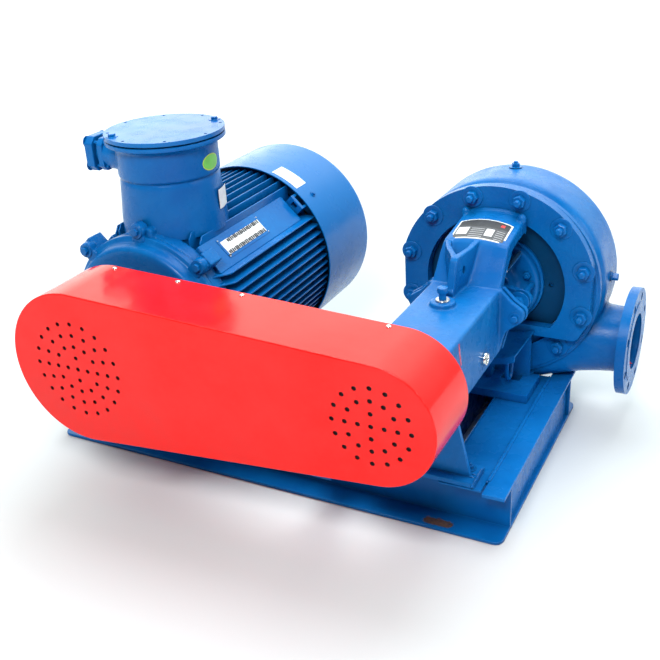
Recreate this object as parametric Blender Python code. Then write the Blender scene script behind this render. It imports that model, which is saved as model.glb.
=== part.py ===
"""Shear pump set: a finned flameproof motor drives a volute pump through a belt under a red guard,
all on one welded channel base. Metres, +Z up, X along the base, Y along the shafts away from the guard."""

import math

import bmesh
import bpy
from mathutils import Matrix, Vector

OBJECT_NAME = "shear_pump_set"
FIT_GAP = 0.0003

# Overall layout: the origin is under the middle of the whole set
SET_WIDTH = 1.429
SET_DEPTH = 1.150
MOTOR_X = -SET_WIDTH / 2 + 0.338
CENTRE_DISTANCE = 0.742
PUMP_X = MOTOR_X + CENTRE_DISTANCE
FRONT_Y = -SET_DEPTH / 2
REAR_Y = SET_DEPTH / 2
MOTOR_Z = 0.394
PUMP_Z = 0.402
CENTRE = (PUMP_X, PUMP_Z)

# Base frame of channel steel
BASE_HEIGHT = 0.120
BASE_LEFT = -SET_WIDTH / 2
BASE_RIGHT = MOTOR_X + 0.941
BASE_FRONT = FRONT_Y + 0.236
BASE_REAR = FRONT_Y + 0.914
BEAM_FLANGE = 0.008
BEAM_WEB = 0.008
BEAM_LIP = 0.010
BEAM_WIDTH = 0.054
FRONT_WEB_Y = FRONT_Y + 0.302
REAR_WEB_Y = FRONT_Y + 0.848
TONGUE_START = FRONT_Y + 0.252
DECK_TOP = 0.117
DECK_THICK = 0.009
DECK_WIDTH = 0.103
DECK_OFFSET = 0.0875
MIDDLE_BEAM_X = MOTOR_X + 0.395
ANCHOR_SLOT = (0.024, 0.012)

# Motor
RAIL_THICK = 0.0234
RAIL_WIDTH = 0.060
RAIL_YS = (FRONT_Y + 0.365, FRONT_Y + 0.700)
CORE_RADIUS = 0.207
FIN_RADIUS = 0.249
FIN_THICK = 0.0052
FIN_PITCH = 0.0215
FIN_RANGES = ((-7, 6), (-5, 5), (-6, 7), (-5, 5))
FRAME_START = FRONT_Y + 0.302
FRAME_END = FRONT_Y + 0.790
SHIELD_RADIUS = 0.225
SHIELD_FACE = FRONT_Y + 0.247
BOSS_CIRCLE = 0.240
COWL_RADIUS = 0.2605
COWL_START = FRONT_Y + 0.776
COWL_END = FRONT_Y + 1.045
COWL_WALL = 0.003
COWL_FACETS = 40
LUG_HALF = 0.024
GRILLE_ROWS = ((0.075, 4), (0.115, 6), (0.155, 8), (0.195, 10))
SHAFT_RADIUS = 0.0325
FOOT_OUTER = 0.243
FOOT_INNER = 0.120
FOOT_THICK = 0.026
FOOT_JOINT_Z = 0.200
FOOT_YS = (FRONT_Y + 0.325, FRONT_Y + 0.738)
EAR_HALF = 0.019
EAR_REACH = 0.262
PAD_HALF = 0.045
PAD_REACH = 0.231
PAD_YS = (FRONT_Y + 0.330, FRONT_Y + 0.752)

# Terminal box
TERMINAL_Y = FRONT_Y + 0.440
LID_RADIUS = 0.149
LID_TOP = 0.8475
LID_THICK = 0.010
BOX_RADIUS = 0.127
BOX_BASE = 0.622

# Belt guard
GUARD_LEFT_RADIUS = 0.189
GUARD_RIGHT_RADIUS = 0.138
GUARD_DEPTH = 0.180
GUARD_WALL = 0.003
VENT_PITCH = 0.0288
VENT_RADIUS = 0.0045
VENT_CENTRE_RISE = 0.0075
LEFT_RINGS = (1, 4, 12, 16, 20)
RIGHT_RINGS = (1, 4, 12, 16)

# Pump
HOUSING_HALF = 0.0855
HOUSING_START = FRONT_Y + 0.205
HOUSING_END = FRONT_Y + 0.556
EARS_END = HOUSING_END + 0.005
PUMP_SHAFT_RADIUS = 0.024
FOLLOWER_Y = FRONT_Y + 0.684
GLAND_FACE = FRONT_Y + 0.738
RING_FACE = FRONT_Y + 0.774
RING_THICK = 0.026
RING_RADIUS = 0.261
RING_FLAT = 0.2505
RING_BOTTOM = 0.134
OPENING_RADIUS = 0.185
OPENING_SILL = 0.106
CASING_START = RING_FACE + RING_THICK + FIT_GAP
CASING_END = FRONT_Y + 0.998
CASING_RADIUS = 0.2695
CASING_CENTRE = (PUMP_X + 0.004, PUMP_Z - 0.008)
CHAMBER_RADIUS = 0.215
PIPE_RADIUS = 0.088
BORE_RADIUS = 0.075
PORT_Y = FRONT_Y + 0.901
PORT_Z = 0.2325
FLANGE_RADIUS = 0.1425
FLANGE_THICK = 0.026
FLANGE_BOLT_CIRCLE = 0.120
FLANGE_HOLE = 0.011
FOOT_PLATE_HALF = 0.125
TRAY_START = FRONT_Y + 0.658
TRAY_STEPS = 4

PAINT_BLUE = (0.03, 0.15, 0.50)
PAINT_RED = (0.85, 0.04, 0.03)
STEEL = (0.55, 0.56, 0.58)
RUBBER = (0.02, 0.02, 0.02)
PLASTIC = (0.03, 0.03, 0.03)


def clear_scene():
    for thing in list(bpy.data.objects):
        bpy.data.objects.remove(thing, do_unlink=True)


def new_collection(name):
    made = bpy.data.collections.new(name)
    bpy.context.scene.collection.children.link(made)
    return made


def material(name, colour, metallic, roughness):
    made = bpy.data.materials.new(name)
    made.use_nodes = True
    shader = made.node_tree.nodes["Principled BSDF"]
    shader.inputs["Base Color"].default_value = (*colour, 1.0)
    shader.inputs["Metallic"].default_value = metallic
    shader.inputs["Roughness"].default_value = roughness
    return made


FINISHES = {
    "blue": (PAINT_BLUE, 0.0, 0.30),
    "red": (PAINT_RED, 0.0, 0.25),
    "steel": (STEEL, 1.0, 0.35),
    "rubber": (RUBBER, 0.0, 0.70),
    "plastic": (PLASTIC, 0.0, 0.45),
}


def place(name, mesh_builder, finish, group):
    mesh = bpy.data.meshes.new(name)
    bmesh.ops.recalc_face_normals(mesh_builder, faces=mesh_builder.faces)
    mesh_builder.to_mesh(mesh)
    mesh_builder.free()
    made = bpy.data.objects.new(name, mesh)
    group.objects.link(made)
    if finish:
        mesh.materials.append(material(name + "_finish", *FINISHES[finish]))
    return made


def piece(name, mesh_builder, finish="blue"):
    return place(name, mesh_builder, finish, PARTS)


def combine(target, mesh_builder, operation):
    tool = place(f"{target.name}_{operation.lower()}_{len(target.modifiers)}", mesh_builder, None, TOOLS)
    tool.hide_render = True
    tool.display_type = "WIRE"
    step = target.modifiers.new(tool.name, "BOOLEAN")
    step.operation = operation
    step.solver = "EXACT"
    step.object = tool
    return target


def cut(target, mesh_builder):
    return combine(target, mesh_builder, "DIFFERENCE")


def weld(target, mesh_builder):
    return combine(target, mesh_builder, "UNION")


def prism(outline, axis, start, end):
    """Outline points are the two other coordinates in X, Y, Z order."""
    shape = bmesh.new()
    along = "xyz".index(axis)
    others = [n for n in range(3) if n != along]
    verts = []
    for first, second in outline:
        spot = [0.0, 0.0, 0.0]
        spot[along], spot[others[0]], spot[others[1]] = start, first, second
        verts.append(shape.verts.new(spot))
    face = shape.faces.new(verts)
    pushed = bmesh.ops.extrude_face_region(shape, geom=[face])["geom"]
    step = Vector([end - start if n == along else 0.0 for n in range(3)])
    bmesh.ops.translate(shape, vec=step, verts=[g for g in pushed if isinstance(g, bmesh.types.BMVert)])
    return shape


def block(xs, ys, zs, rounding=0.0):
    shape = bmesh.new()
    bmesh.ops.create_cube(shape, size=1.0)
    size = Vector((xs[1] - xs[0], ys[1] - ys[0], zs[1] - zs[0]))
    middle = Vector((xs[0] + xs[1], ys[0] + ys[1], zs[0] + zs[1])) / 2
    bmesh.ops.scale(shape, vec=size, verts=shape.verts)
    bmesh.ops.translate(shape, vec=middle, verts=shape.verts)
    if rounding:
        bmesh.ops.bevel(shape, geom=shape.edges[:], offset=rounding, segments=1, affect="EDGES")
    return shape


AXIS_TURN = {
    "x": Matrix.Rotation(math.pi / 2, 4, "Y"),
    "y": Matrix.Rotation(-math.pi / 2, 4, "X"),
    "z": Matrix.Identity(4),
}


def spun(profile, axis, centre, steps):
    """Profile points are (radius, position along the axis); centre is the two other coordinates."""
    shape = bmesh.new()
    verts = [shape.verts.new((radius, 0.0, along)) for radius, along in profile]
    edges = [shape.edges.new((verts[n], verts[(n + 1) % len(verts)])) for n in range(len(verts))
             if verts[n].co.x > 0 or verts[(n + 1) % len(verts)].co.x > 0]
    bmesh.ops.spin(shape, geom=verts + edges, cent=(0, 0, 0), axis=(0, 0, 1), dvec=(0, 0, 0),
                   angle=2 * math.pi, steps=steps, use_merge=True, use_duplicate=False)
    bmesh.ops.remove_doubles(shape, verts=shape.verts, dist=1e-6)
    bmesh.ops.transform(shape, matrix=AXIS_TURN[axis], verts=shape.verts)
    offset = list(centre)
    offset.insert("xyz".index(axis), 0.0)
    bmesh.ops.translate(shape, vec=Vector(offset), verts=shape.verts)
    return shape


def rod(axis, centre, radius, start, end, steps=16):
    return spun([(0.0, start), (radius, start), (radius, end), (0.0, end)], axis, centre, steps)


def merged(shapes):
    """Puts cutters that don't touch each other into one mesh."""
    total = bmesh.new()
    for shape in shapes:
        part = bpy.data.meshes.new("part")
        shape.to_mesh(part)
        shape.free()
        total.from_mesh(part)
        bpy.data.meshes.remove(part)
    return total


def around(centre, radius, angle):
    return centre[0] + radius * math.cos(angle), centre[1] + radius * math.sin(angle)


def arc(centre, radius, start, end, count):
    return [around(centre, radius, start + (end - start) * n / count) for n in range(count + 1)]


# Base


def channel_outline(outer, inner, lip):
    """Cross-section with the web set back by the lip from the outer side."""
    sign = 1.0 if outer > inner else -1.0
    web_out, web_in = outer - sign * lip, outer - sign * (lip + BEAM_WEB)
    top = BASE_HEIGHT - BEAM_FLANGE
    return [(outer, 0.0), (outer, BEAM_FLANGE), (web_out, BEAM_FLANGE), (web_out, top), (outer, top),
            (outer, BASE_HEIGHT), (inner, BASE_HEIGHT), (inner, top), (web_in, top), (web_in, BEAM_FLANGE),
            (inner, BEAM_FLANGE), (inner, 0.0)]


def angle_outline(edge, web_outer, sign):
    web_inner = web_outer + sign * BEAM_WEB
    top = BASE_HEIGHT - BEAM_FLANGE - FIT_GAP
    return [(edge, 0.0), (edge, BEAM_FLANGE), (web_outer, BEAM_FLANGE), (web_outer, top), (web_inner, top),
            (web_inner, 0.0)]


def round_corners(target, edge, sign, xs):
    radius, over = 0.022, 0.010
    for x, turn in zip(xs, (1.0, -1.0)):
        middle = (x + turn * radius, edge + sign * radius)
        quarter = [math.pi / 2 * n / 4 for n in range(5)]
        sweep = [(middle[0] - turn * radius * math.cos(t),
                  middle[1] - sign * radius * math.sin(t)) for t in quarter]
        outside = [(middle[0], edge - sign * over), (x - turn * over, edge - sign * over),
                   (x - turn * over, middle[1])]
        cut(target, prism(sweep + outside, "z", -over, BEAM_FLANGE + over))


def slot_cutter(x, y, half, radius):
    right = arc((x + half, y), radius, -math.pi / 2, math.pi / 2, 4)
    left = arc((x - half, y), radius, math.pi / 2, 3 * math.pi / 2, 4)
    return prism(right + left, "z", -0.02, BEAM_FLANGE + 0.02)


def build_base():
    front_clear = FRONT_WEB_Y + BEAM_WEB + FIT_GAP
    rear_clear = REAR_WEB_Y - BEAM_WEB - FIT_GAP
    for side, outer, turn in (("left", BASE_LEFT, 1.0), ("right", BASE_RIGHT, -1.0)):
        inner = outer + turn * BEAM_WIDTH
        beam = piece(f"base_side_beam_{side}", prism(channel_outline(outer, inner, BEAM_LIP), "y",
                                                     front_clear, rear_clear))
        xs = sorted((outer, inner))
        top = (BASE_HEIGHT - BEAM_FLANGE, BASE_HEIGHT)
        weld(beam, block(xs, (TONGUE_START, front_clear + 0.02), top))
        weld(beam, block(xs, (rear_clear - 0.02, BASE_REAR - 0.016), top))
    for name, edge, web, sign in (("front", BASE_FRONT, FRONT_WEB_Y, 1.0),
                                  ("rear", BASE_REAR, REAR_WEB_Y, -1.0)):
        beam = piece(f"base_{name}_beam", prism(angle_outline(edge, web, sign), "x", BASE_LEFT, BASE_RIGHT))
        round_corners(beam, edge, sign, (BASE_LEFT, BASE_RIGHT))
        cut(beam, merged([slot_cutter(x, edge + sign * 0.022, *ANCHOR_SLOT)
                          for x in (BASE_LEFT + 0.16, BASE_RIGHT - 0.16)]))
    for side, turn in (("left", -1.0), ("right", 1.0)):
        middle = PUMP_X + turn * DECK_OFFSET
        low, high = middle - DECK_WIDTH / 2, middle + DECK_WIDTH / 2
        under = DECK_TOP - DECK_THICK
        outline = [(low, 0.0), (low, DECK_TOP), (high, DECK_TOP), (high, 0.0), (high - DECK_THICK, 0.0),
                   (high - DECK_THICK, under), (low + DECK_THICK, under), (low + DECK_THICK, 0.0)]
        deck = piece(f"pump_deck_{side}", prism(outline, "y", front_clear, rear_clear))
        weld(deck, block((low, high), (FRONT_Y + 0.266, front_clear + 0.02),
                         (BASE_HEIGHT - BEAM_FLANGE, DECK_TOP)))
    piece("base_middle_beam", prism(channel_outline(MIDDLE_BEAM_X, MIDDLE_BEAM_X + BEAM_WIDTH, 0.0), "y",
                                    front_clear, rear_clear))


# Motor


def fin_outline():
    """Round core with level fins at the sides and upright fins above and below."""
    points = []
    for quarter in range(4):
        turn = quarter * math.pi / 2
        lowest, highest = FIN_RANGES[quarter]
        for n in range(lowest, highest + 1):
            offset = FIN_PITCH * n
            root = math.sqrt(CORE_RADIUS ** 2 - offset ** 2)
            tip = math.sqrt(FIN_RADIUS ** 2 - offset ** 2)
            for along, side in ((root, -1), (tip, -1), (tip, 1), (root, 1)):
                across = offset + side * FIN_THICK / 2
                points.append((MOTOR_X + along * math.cos(turn) - across * math.sin(turn),
                               MOTOR_Z + along * math.sin(turn) + across * math.cos(turn)))
    return points


def on_motor(shape, turn):
    """Turns a shape that stands upright over the motor's axis about that axis, clockwise from the front."""
    bmesh.ops.rotate(shape, cent=(0, 0, 0), matrix=Matrix.Rotation(turn, 3, "Y"), verts=shape.verts)
    bmesh.ops.translate(shape, vec=(MOTOR_X, 0, MOTOR_Z), verts=shape.verts)
    return shape


def build_feet(frame):
    """Each bolted foot meets a flat pad cast on the frame."""
    bottom = BASE_HEIGHT + RAIL_THICK + FIT_GAP
    for side, turn in (("left", -1.0), ("right", 1.0)):
        inner, root, outer = (MOTOR_X + turn * reach for reach in (FOOT_INNER, 0.185, FOOT_OUTER))
        top = FOOT_JOINT_Z - FIT_GAP
        outline = [(inner, bottom), (outer, bottom), (outer, bottom + FOOT_THICK),
                   (MOTOR_X + turn * 0.205, bottom + FOOT_THICK + 0.004), (root, top), (inner, top)]
        piece(f"motor_foot_{side}", prism(outline, "y", *FOOT_YS))
        stub = [(inner, FOOT_JOINT_Z), (root, FOOT_JOINT_Z), (MOTOR_X + turn * 0.165, 0.262), (inner, 0.262)]
        weld(frame, prism(stub, "y", *FOOT_YS))


def build_motor():
    centre = (MOTOR_X, MOTOR_Z)
    for name, y in zip(("front", "rear"), RAIL_YS):
        piece(f"motor_rail_{name}", block((BASE_LEFT, MIDDLE_BEAM_X + BEAM_WIDTH),
                                          (y - RAIL_WIDTH / 2, y + RAIL_WIDTH / 2),
                                          (BASE_HEIGHT + FIT_GAP, BASE_HEIGHT + RAIL_THICK)))
    frame = piece("motor_frame", prism(fin_outline(), "y", FRAME_START + 0.03, FRAME_END))
    weld(frame, rod("y", centre, SHIELD_RADIUS, FRAME_START, FRAME_START + 0.045, 40))
    build_feet(frame)
    weld(frame, block((MOTOR_X - 0.097, MOTOR_X + 0.097), (TERMINAL_Y - 0.097, TERMINAL_Y + 0.097),
                      (MOTOR_Z + 0.10, BOX_BASE + 0.006)))
    cut(frame, rod("z", (MOTOR_X, TERMINAL_Y), 0.1395, BOX_BASE - FIT_GAP, BOX_BASE + 0.05, 32))
    for turn in (-1.0, 1.0):
        weld(frame, on_motor(block((-PAD_HALF, PAD_HALF), PAD_YS, (0.10, PAD_REACH), 0.003),
                             turn * math.pi / 4))
        weld(frame, on_motor(block((-EAR_HALF, EAR_HALF), (FRAME_START + 0.001, FRAME_START + 0.044),
                                   (0.200, EAR_REACH), 0.002), turn * math.pi / 4))
    cowl_inside = (COWL_RADIUS - COWL_WALL) * math.cos(math.pi / COWL_FACETS)
    lug_reach = math.sqrt(cowl_inside ** 2 - LUG_HALF ** 2) - FIT_GAP
    for n in range(4):
        turn = math.pi / 4 + n * math.pi / 2
        weld(frame, on_motor(block((-LUG_HALF, LUG_HALF), (FRAME_END - 0.040, FRAME_END - 0.001),
                                   (0.200, lug_reach)), turn))
    cut(frame, rod("y", centre, SHAFT_RADIUS + 0.001, FRAME_START - 0.05, FRAME_END + 0.05, 16))

    shield_end = FRAME_START - FIT_GAP
    profile = [(SHAFT_RADIUS + 0.001, SHIELD_FACE + 0.004), (0.075, SHIELD_FACE + 0.004),
               (0.085, SHIELD_FACE + 0.016),
               (0.150, SHIELD_FACE + 0.010), (0.190, SHIELD_FACE), (0.205, SHIELD_FACE + 0.008),
               (SHIELD_RADIUS - 0.006, SHIELD_FACE + 0.036), (SHIELD_RADIUS, SHIELD_FACE + 0.040),
               (SHIELD_RADIUS, shield_end), (SHAFT_RADIUS + 0.001, shield_end)]
    shield = piece("motor_end_shield_front", spun(profile, "y", centre, 36))
    for n in range(8):
        weld(shield, rod("y", around(centre, BOSS_CIRCLE, n * math.pi / 4), 0.027, SHIELD_FACE + 0.024,
                         shield_end, 10))

    rear_start = FRAME_END + FIT_GAP
    profile = [(SHAFT_RADIUS + 0.001, rear_start), (0.215, rear_start), (0.215, rear_start + 0.018),
               (0.180, rear_start + 0.030), (SHAFT_RADIUS + 0.001, rear_start + 0.034)]
    piece("motor_end_shield_rear", spun(profile, "y", centre, 32))

    inner = COWL_RADIUS - COWL_WALL
    profile = [(inner, COWL_START), (COWL_RADIUS, COWL_START), (COWL_RADIUS, COWL_END - 0.022),
               (COWL_RADIUS - 0.008, COWL_END - 0.006), (COWL_RADIUS - 0.024, COWL_END), (0.0, COWL_END),
               (0.0, COWL_END - COWL_WALL), (inner - 0.024, COWL_END - COWL_WALL),
               (inner - 0.007, COWL_END - 0.009),
               (inner, COWL_END - 0.022)]
    cowl = piece("motor_fan_cowl", spun(profile, "y", centre, COWL_FACETS))
    grille = []
    for radius, count in GRILLE_ROWS:
        for n in range(count):
            middle = 2 * math.pi * n / count
            half = math.pi / count - 0.011 / radius
            outer_arc = arc(centre, radius + 0.011, middle - half, middle + half, 2)
            inner_arc = arc(centre, radius - 0.011, middle + half, middle - half, 2)
            grille.append(prism(outer_arc + inner_arc, "y", COWL_END - 0.02, COWL_END + 0.02))
    cut(cowl, merged(grille))

    shaft = spun([(0.0, FRONT_Y + 0.052), (SHAFT_RADIUS, FRONT_Y + 0.052), (SHAFT_RADIUS, FRONT_Y + 0.895),
                  (0.0, FRONT_Y + 0.895)], "y", centre, 16)
    piece("motor_shaft", shaft, "steel")
    hub = SHAFT_RADIUS + FIT_GAP
    fan = piece("motor_fan", spun([(hub, FRONT_Y + 0.850), (0.060, FRONT_Y + 0.850), (0.190, FRONT_Y + 0.880),
                                   (0.190, FRONT_Y + 0.884), (hub, FRONT_Y + 0.870)], "y", centre, 24),
                "plastic")
    for n in range(8):
        blade = block((-0.002, 0.002), (FRONT_Y + 0.866, FRONT_Y + 0.940), (0.070, 0.205))
        weld(fan, on_motor(blade, n * math.pi / 4 + 0.1))


def build_terminal_box():
    centre = (MOTOR_X, TERMINAL_Y)
    flange_top = LID_TOP - LID_THICK - FIT_GAP
    profile = [(0.0, BOX_BASE), (0.137, BOX_BASE), (0.133, 0.650), (0.126, 0.715), (0.131, 0.724),
               (0.131, 0.736),
               (0.126, 0.744), (BOX_RADIUS, 0.818), (LID_RADIUS, 0.821), (LID_RADIUS, 0.833), (0.138, 0.834),
               (0.138, flange_top), (0.0, flange_top)]
    box = piece("terminal_box_body", spun(profile, "z", centre, 36))
    weld(box, rod("x", (TERMINAL_Y, 0.775), 0.045, MOTOR_X - 0.180, MOTOR_X - 0.110, 20))
    weld(box, block((MOTOR_X - 0.199, MOTOR_X - 0.179), (TERMINAL_Y - 0.050, TERMINAL_Y + 0.050),
                    (0.727, 0.823), 0.004))
    profile = [(0.0, LID_TOP - LID_THICK), (LID_RADIUS, LID_TOP - LID_THICK), (LID_RADIUS, LID_TOP - 0.002),
               (LID_RADIUS - 0.002, LID_TOP), (0.0, LID_TOP)]
    lid = piece("terminal_box_lid", spun(profile, "z", centre, 36))
    for angle in (math.radians(54), math.radians(234)):
        weld(lid, rod("z", around(centre, 0.135, angle), 0.009, LID_TOP - 0.003, LID_TOP + 0.0085, 6))
    gland = piece("cable_gland", block((MOTOR_X - 0.244, MOTOR_X - 0.1993),
                                       (TERMINAL_Y - 0.050, TERMINAL_Y + 0.050),
                                       (0.728, 0.822), 0.006))
    weld(gland, rod("x", (TERMINAL_Y, 0.775), 0.034, MOTOR_X - 0.252, MOTOR_X - 0.230, 16))
    cut(gland, rod("x", (TERMINAL_Y, 0.775), 0.021, MOTOR_X - 0.262, MOTOR_X - 0.232, 12))


# Belt drive and guard


def stadium(inset):
    left, right = (MOTOR_X, MOTOR_Z), (PUMP_X, PUMP_Z + 0.006)
    run, rise = right[0] - left[0], right[1] - left[1]
    tilt = math.atan2(rise, run)
    lean = math.acos((GUARD_LEFT_RADIUS - GUARD_RIGHT_RADIUS) / math.hypot(run, rise))
    left_arc = arc(left, GUARD_LEFT_RADIUS - inset, tilt + lean, tilt + 2 * math.pi - lean, 18)
    right_arc = arc(right, GUARD_RIGHT_RADIUS - inset, tilt - lean, tilt + lean, 14)
    return left_arc + right_arc


def vents(centre, rings, start, end):
    holes = []
    for ring, count in enumerate(rings):
        for n in range(count):
            turn = 2 * math.pi * n / count
            holes.append(rod("y", around(centre, ring * VENT_PITCH, turn), VENT_RADIUS, start, end, 6))
    return holes


def build_drive():
    cover = piece("guard_cover", prism(stadium(0.0), "y", FRONT_Y, FRONT_Y + GUARD_DEPTH), "red")
    cut(cover, prism(stadium(GUARD_WALL), "y", FRONT_Y + GUARD_WALL, FRONT_Y + GUARD_DEPTH + 0.05))
    front, back = FRONT_Y - 0.01, FRONT_Y + GUARD_WALL + 0.01
    cut(cover, merged(vents((MOTOR_X, MOTOR_Z), LEFT_RINGS, front, back)
                      + vents((PUMP_X, PUMP_Z + VENT_CENTRE_RISE), RIGHT_RINGS, front, back)))
    plate_y = FRONT_Y + GUARD_DEPTH - GUARD_WALL
    plate = piece("guard_back_plate", prism(stadium(GUARD_WALL + FIT_GAP), "y", plate_y,
                                            plate_y + GUARD_WALL), "red")
    cut(plate, merged([rod("y", (MOTOR_X, MOTOR_Z), 0.065, plate_y - 0.02, plate_y + 0.02, 20),
                       rod("y", (PUMP_X, PUMP_Z), 0.050, plate_y - 0.02, plate_y + 0.02, 20)]))
    bracket_y = plate_y + GUARD_WALL + FIT_GAP
    web_top = BASE_HEIGHT - BEAM_FLANGE - FIT_GAP
    for side, x in (("left", MOTOR_X + 0.10), ("right", MOTOR_X + 0.52)):
        outline = [(bracket_y, 0.36), (bracket_y + 0.006, 0.36), (bracket_y + 0.006, 0.128),
                   (FRONT_WEB_Y + BEAM_WEB, 0.128),
                   (FRONT_WEB_Y + BEAM_WEB, web_top + FIT_GAP), (bracket_y, web_top + FIT_GAP)]
        piece(f"guard_bracket_{side}", prism(outline, "x", x - 0.025, x + 0.025))

    pulley_start, pulley_end = FRONT_Y + 0.055, FRONT_Y + 0.150
    for name, centre, radius, shaft in (("motor", (MOTOR_X, MOTOR_Z), 0.120, SHAFT_RADIUS),
                                        ("pump", (PUMP_X, PUMP_Z), 0.090, PUMP_SHAFT_RADIUS)):
        hub = shaft + FIT_GAP
        profile = [(hub, pulley_start), (radius, pulley_start), (radius, pulley_start + 0.006),
                   (radius - 0.012, pulley_start + 0.010), (radius - 0.012, pulley_end - 0.010),
                   (radius, pulley_end - 0.006), (radius, pulley_end), (hub, pulley_end)]
        piece(f"{name}_pulley", spun(profile, "y", centre, 24), "steel")
    belt_outline, belt_inner = [], []
    for target, radii in ((belt_outline, (0.1165, 0.0865)), (belt_inner, (0.1093, 0.0793))):
        tilt = math.atan2(PUMP_Z - MOTOR_Z, CENTRE_DISTANCE)
        lean = math.acos((radii[0] - radii[1]) / CENTRE_DISTANCE)
        target += arc((MOTOR_X, MOTOR_Z), radii[0], tilt + lean, tilt + 2 * math.pi - lean, 16)
        target += arc((PUMP_X, PUMP_Z), radii[1], tilt - lean, tilt + lean, 16)
    belt = piece("drive_belt", prism(belt_outline, "y", pulley_start + 0.012, pulley_end - 0.012), "rubber")
    cut(belt, prism(belt_inner, "y", pulley_start - 0.02, pulley_end + 0.02))


# Pump


def ring_outline():
    points = []
    half_flat = math.acos(RING_FLAT / RING_RADIUS)
    points += arc(CENTRE, RING_RADIUS, half_flat, math.pi - half_flat, 28)
    points += [(PUMP_X - RING_FLAT, PUMP_Z - 0.075), (PUMP_X - RING_FLAT + 0.030, PUMP_Z - RING_BOTTOM),
               (PUMP_X + RING_FLAT - 0.030, PUMP_Z - RING_BOTTOM), (PUMP_X + RING_FLAT, PUMP_Z - 0.075)]
    return points


def eared_outline(reach, ear_radius, half_width, half_height):
    """A square with one rounded ear at each side, where its bolts sit."""
    outline = arc((PUMP_X + reach, PUMP_Z), ear_radius, -math.pi / 3, math.pi / 3, 6)
    outline += [(PUMP_X + half_width, PUMP_Z + half_height), (PUMP_X - half_width, PUMP_Z + half_height)]
    outline += arc((PUMP_X - reach, PUMP_Z), ear_radius, 2 * math.pi / 3, 4 * math.pi / 3, 6)
    return outline + [(PUMP_X - half_width, PUMP_Z - half_height),
                      (PUMP_X + half_width, PUMP_Z - half_height)]


def opening_outline():
    sill = math.asin(OPENING_SILL / OPENING_RADIUS)
    return arc(CENTRE, OPENING_RADIUS, -sill, math.pi + sill, 28)


def flange_holes(axis, centre, start, end):
    return merged([rod(axis, around(centre, FLANGE_BOLT_CIRCLE, (n + 0.5) * math.pi / 4), FLANGE_HOLE,
                       start, end, 8)
                   for n in range(8)])


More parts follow.
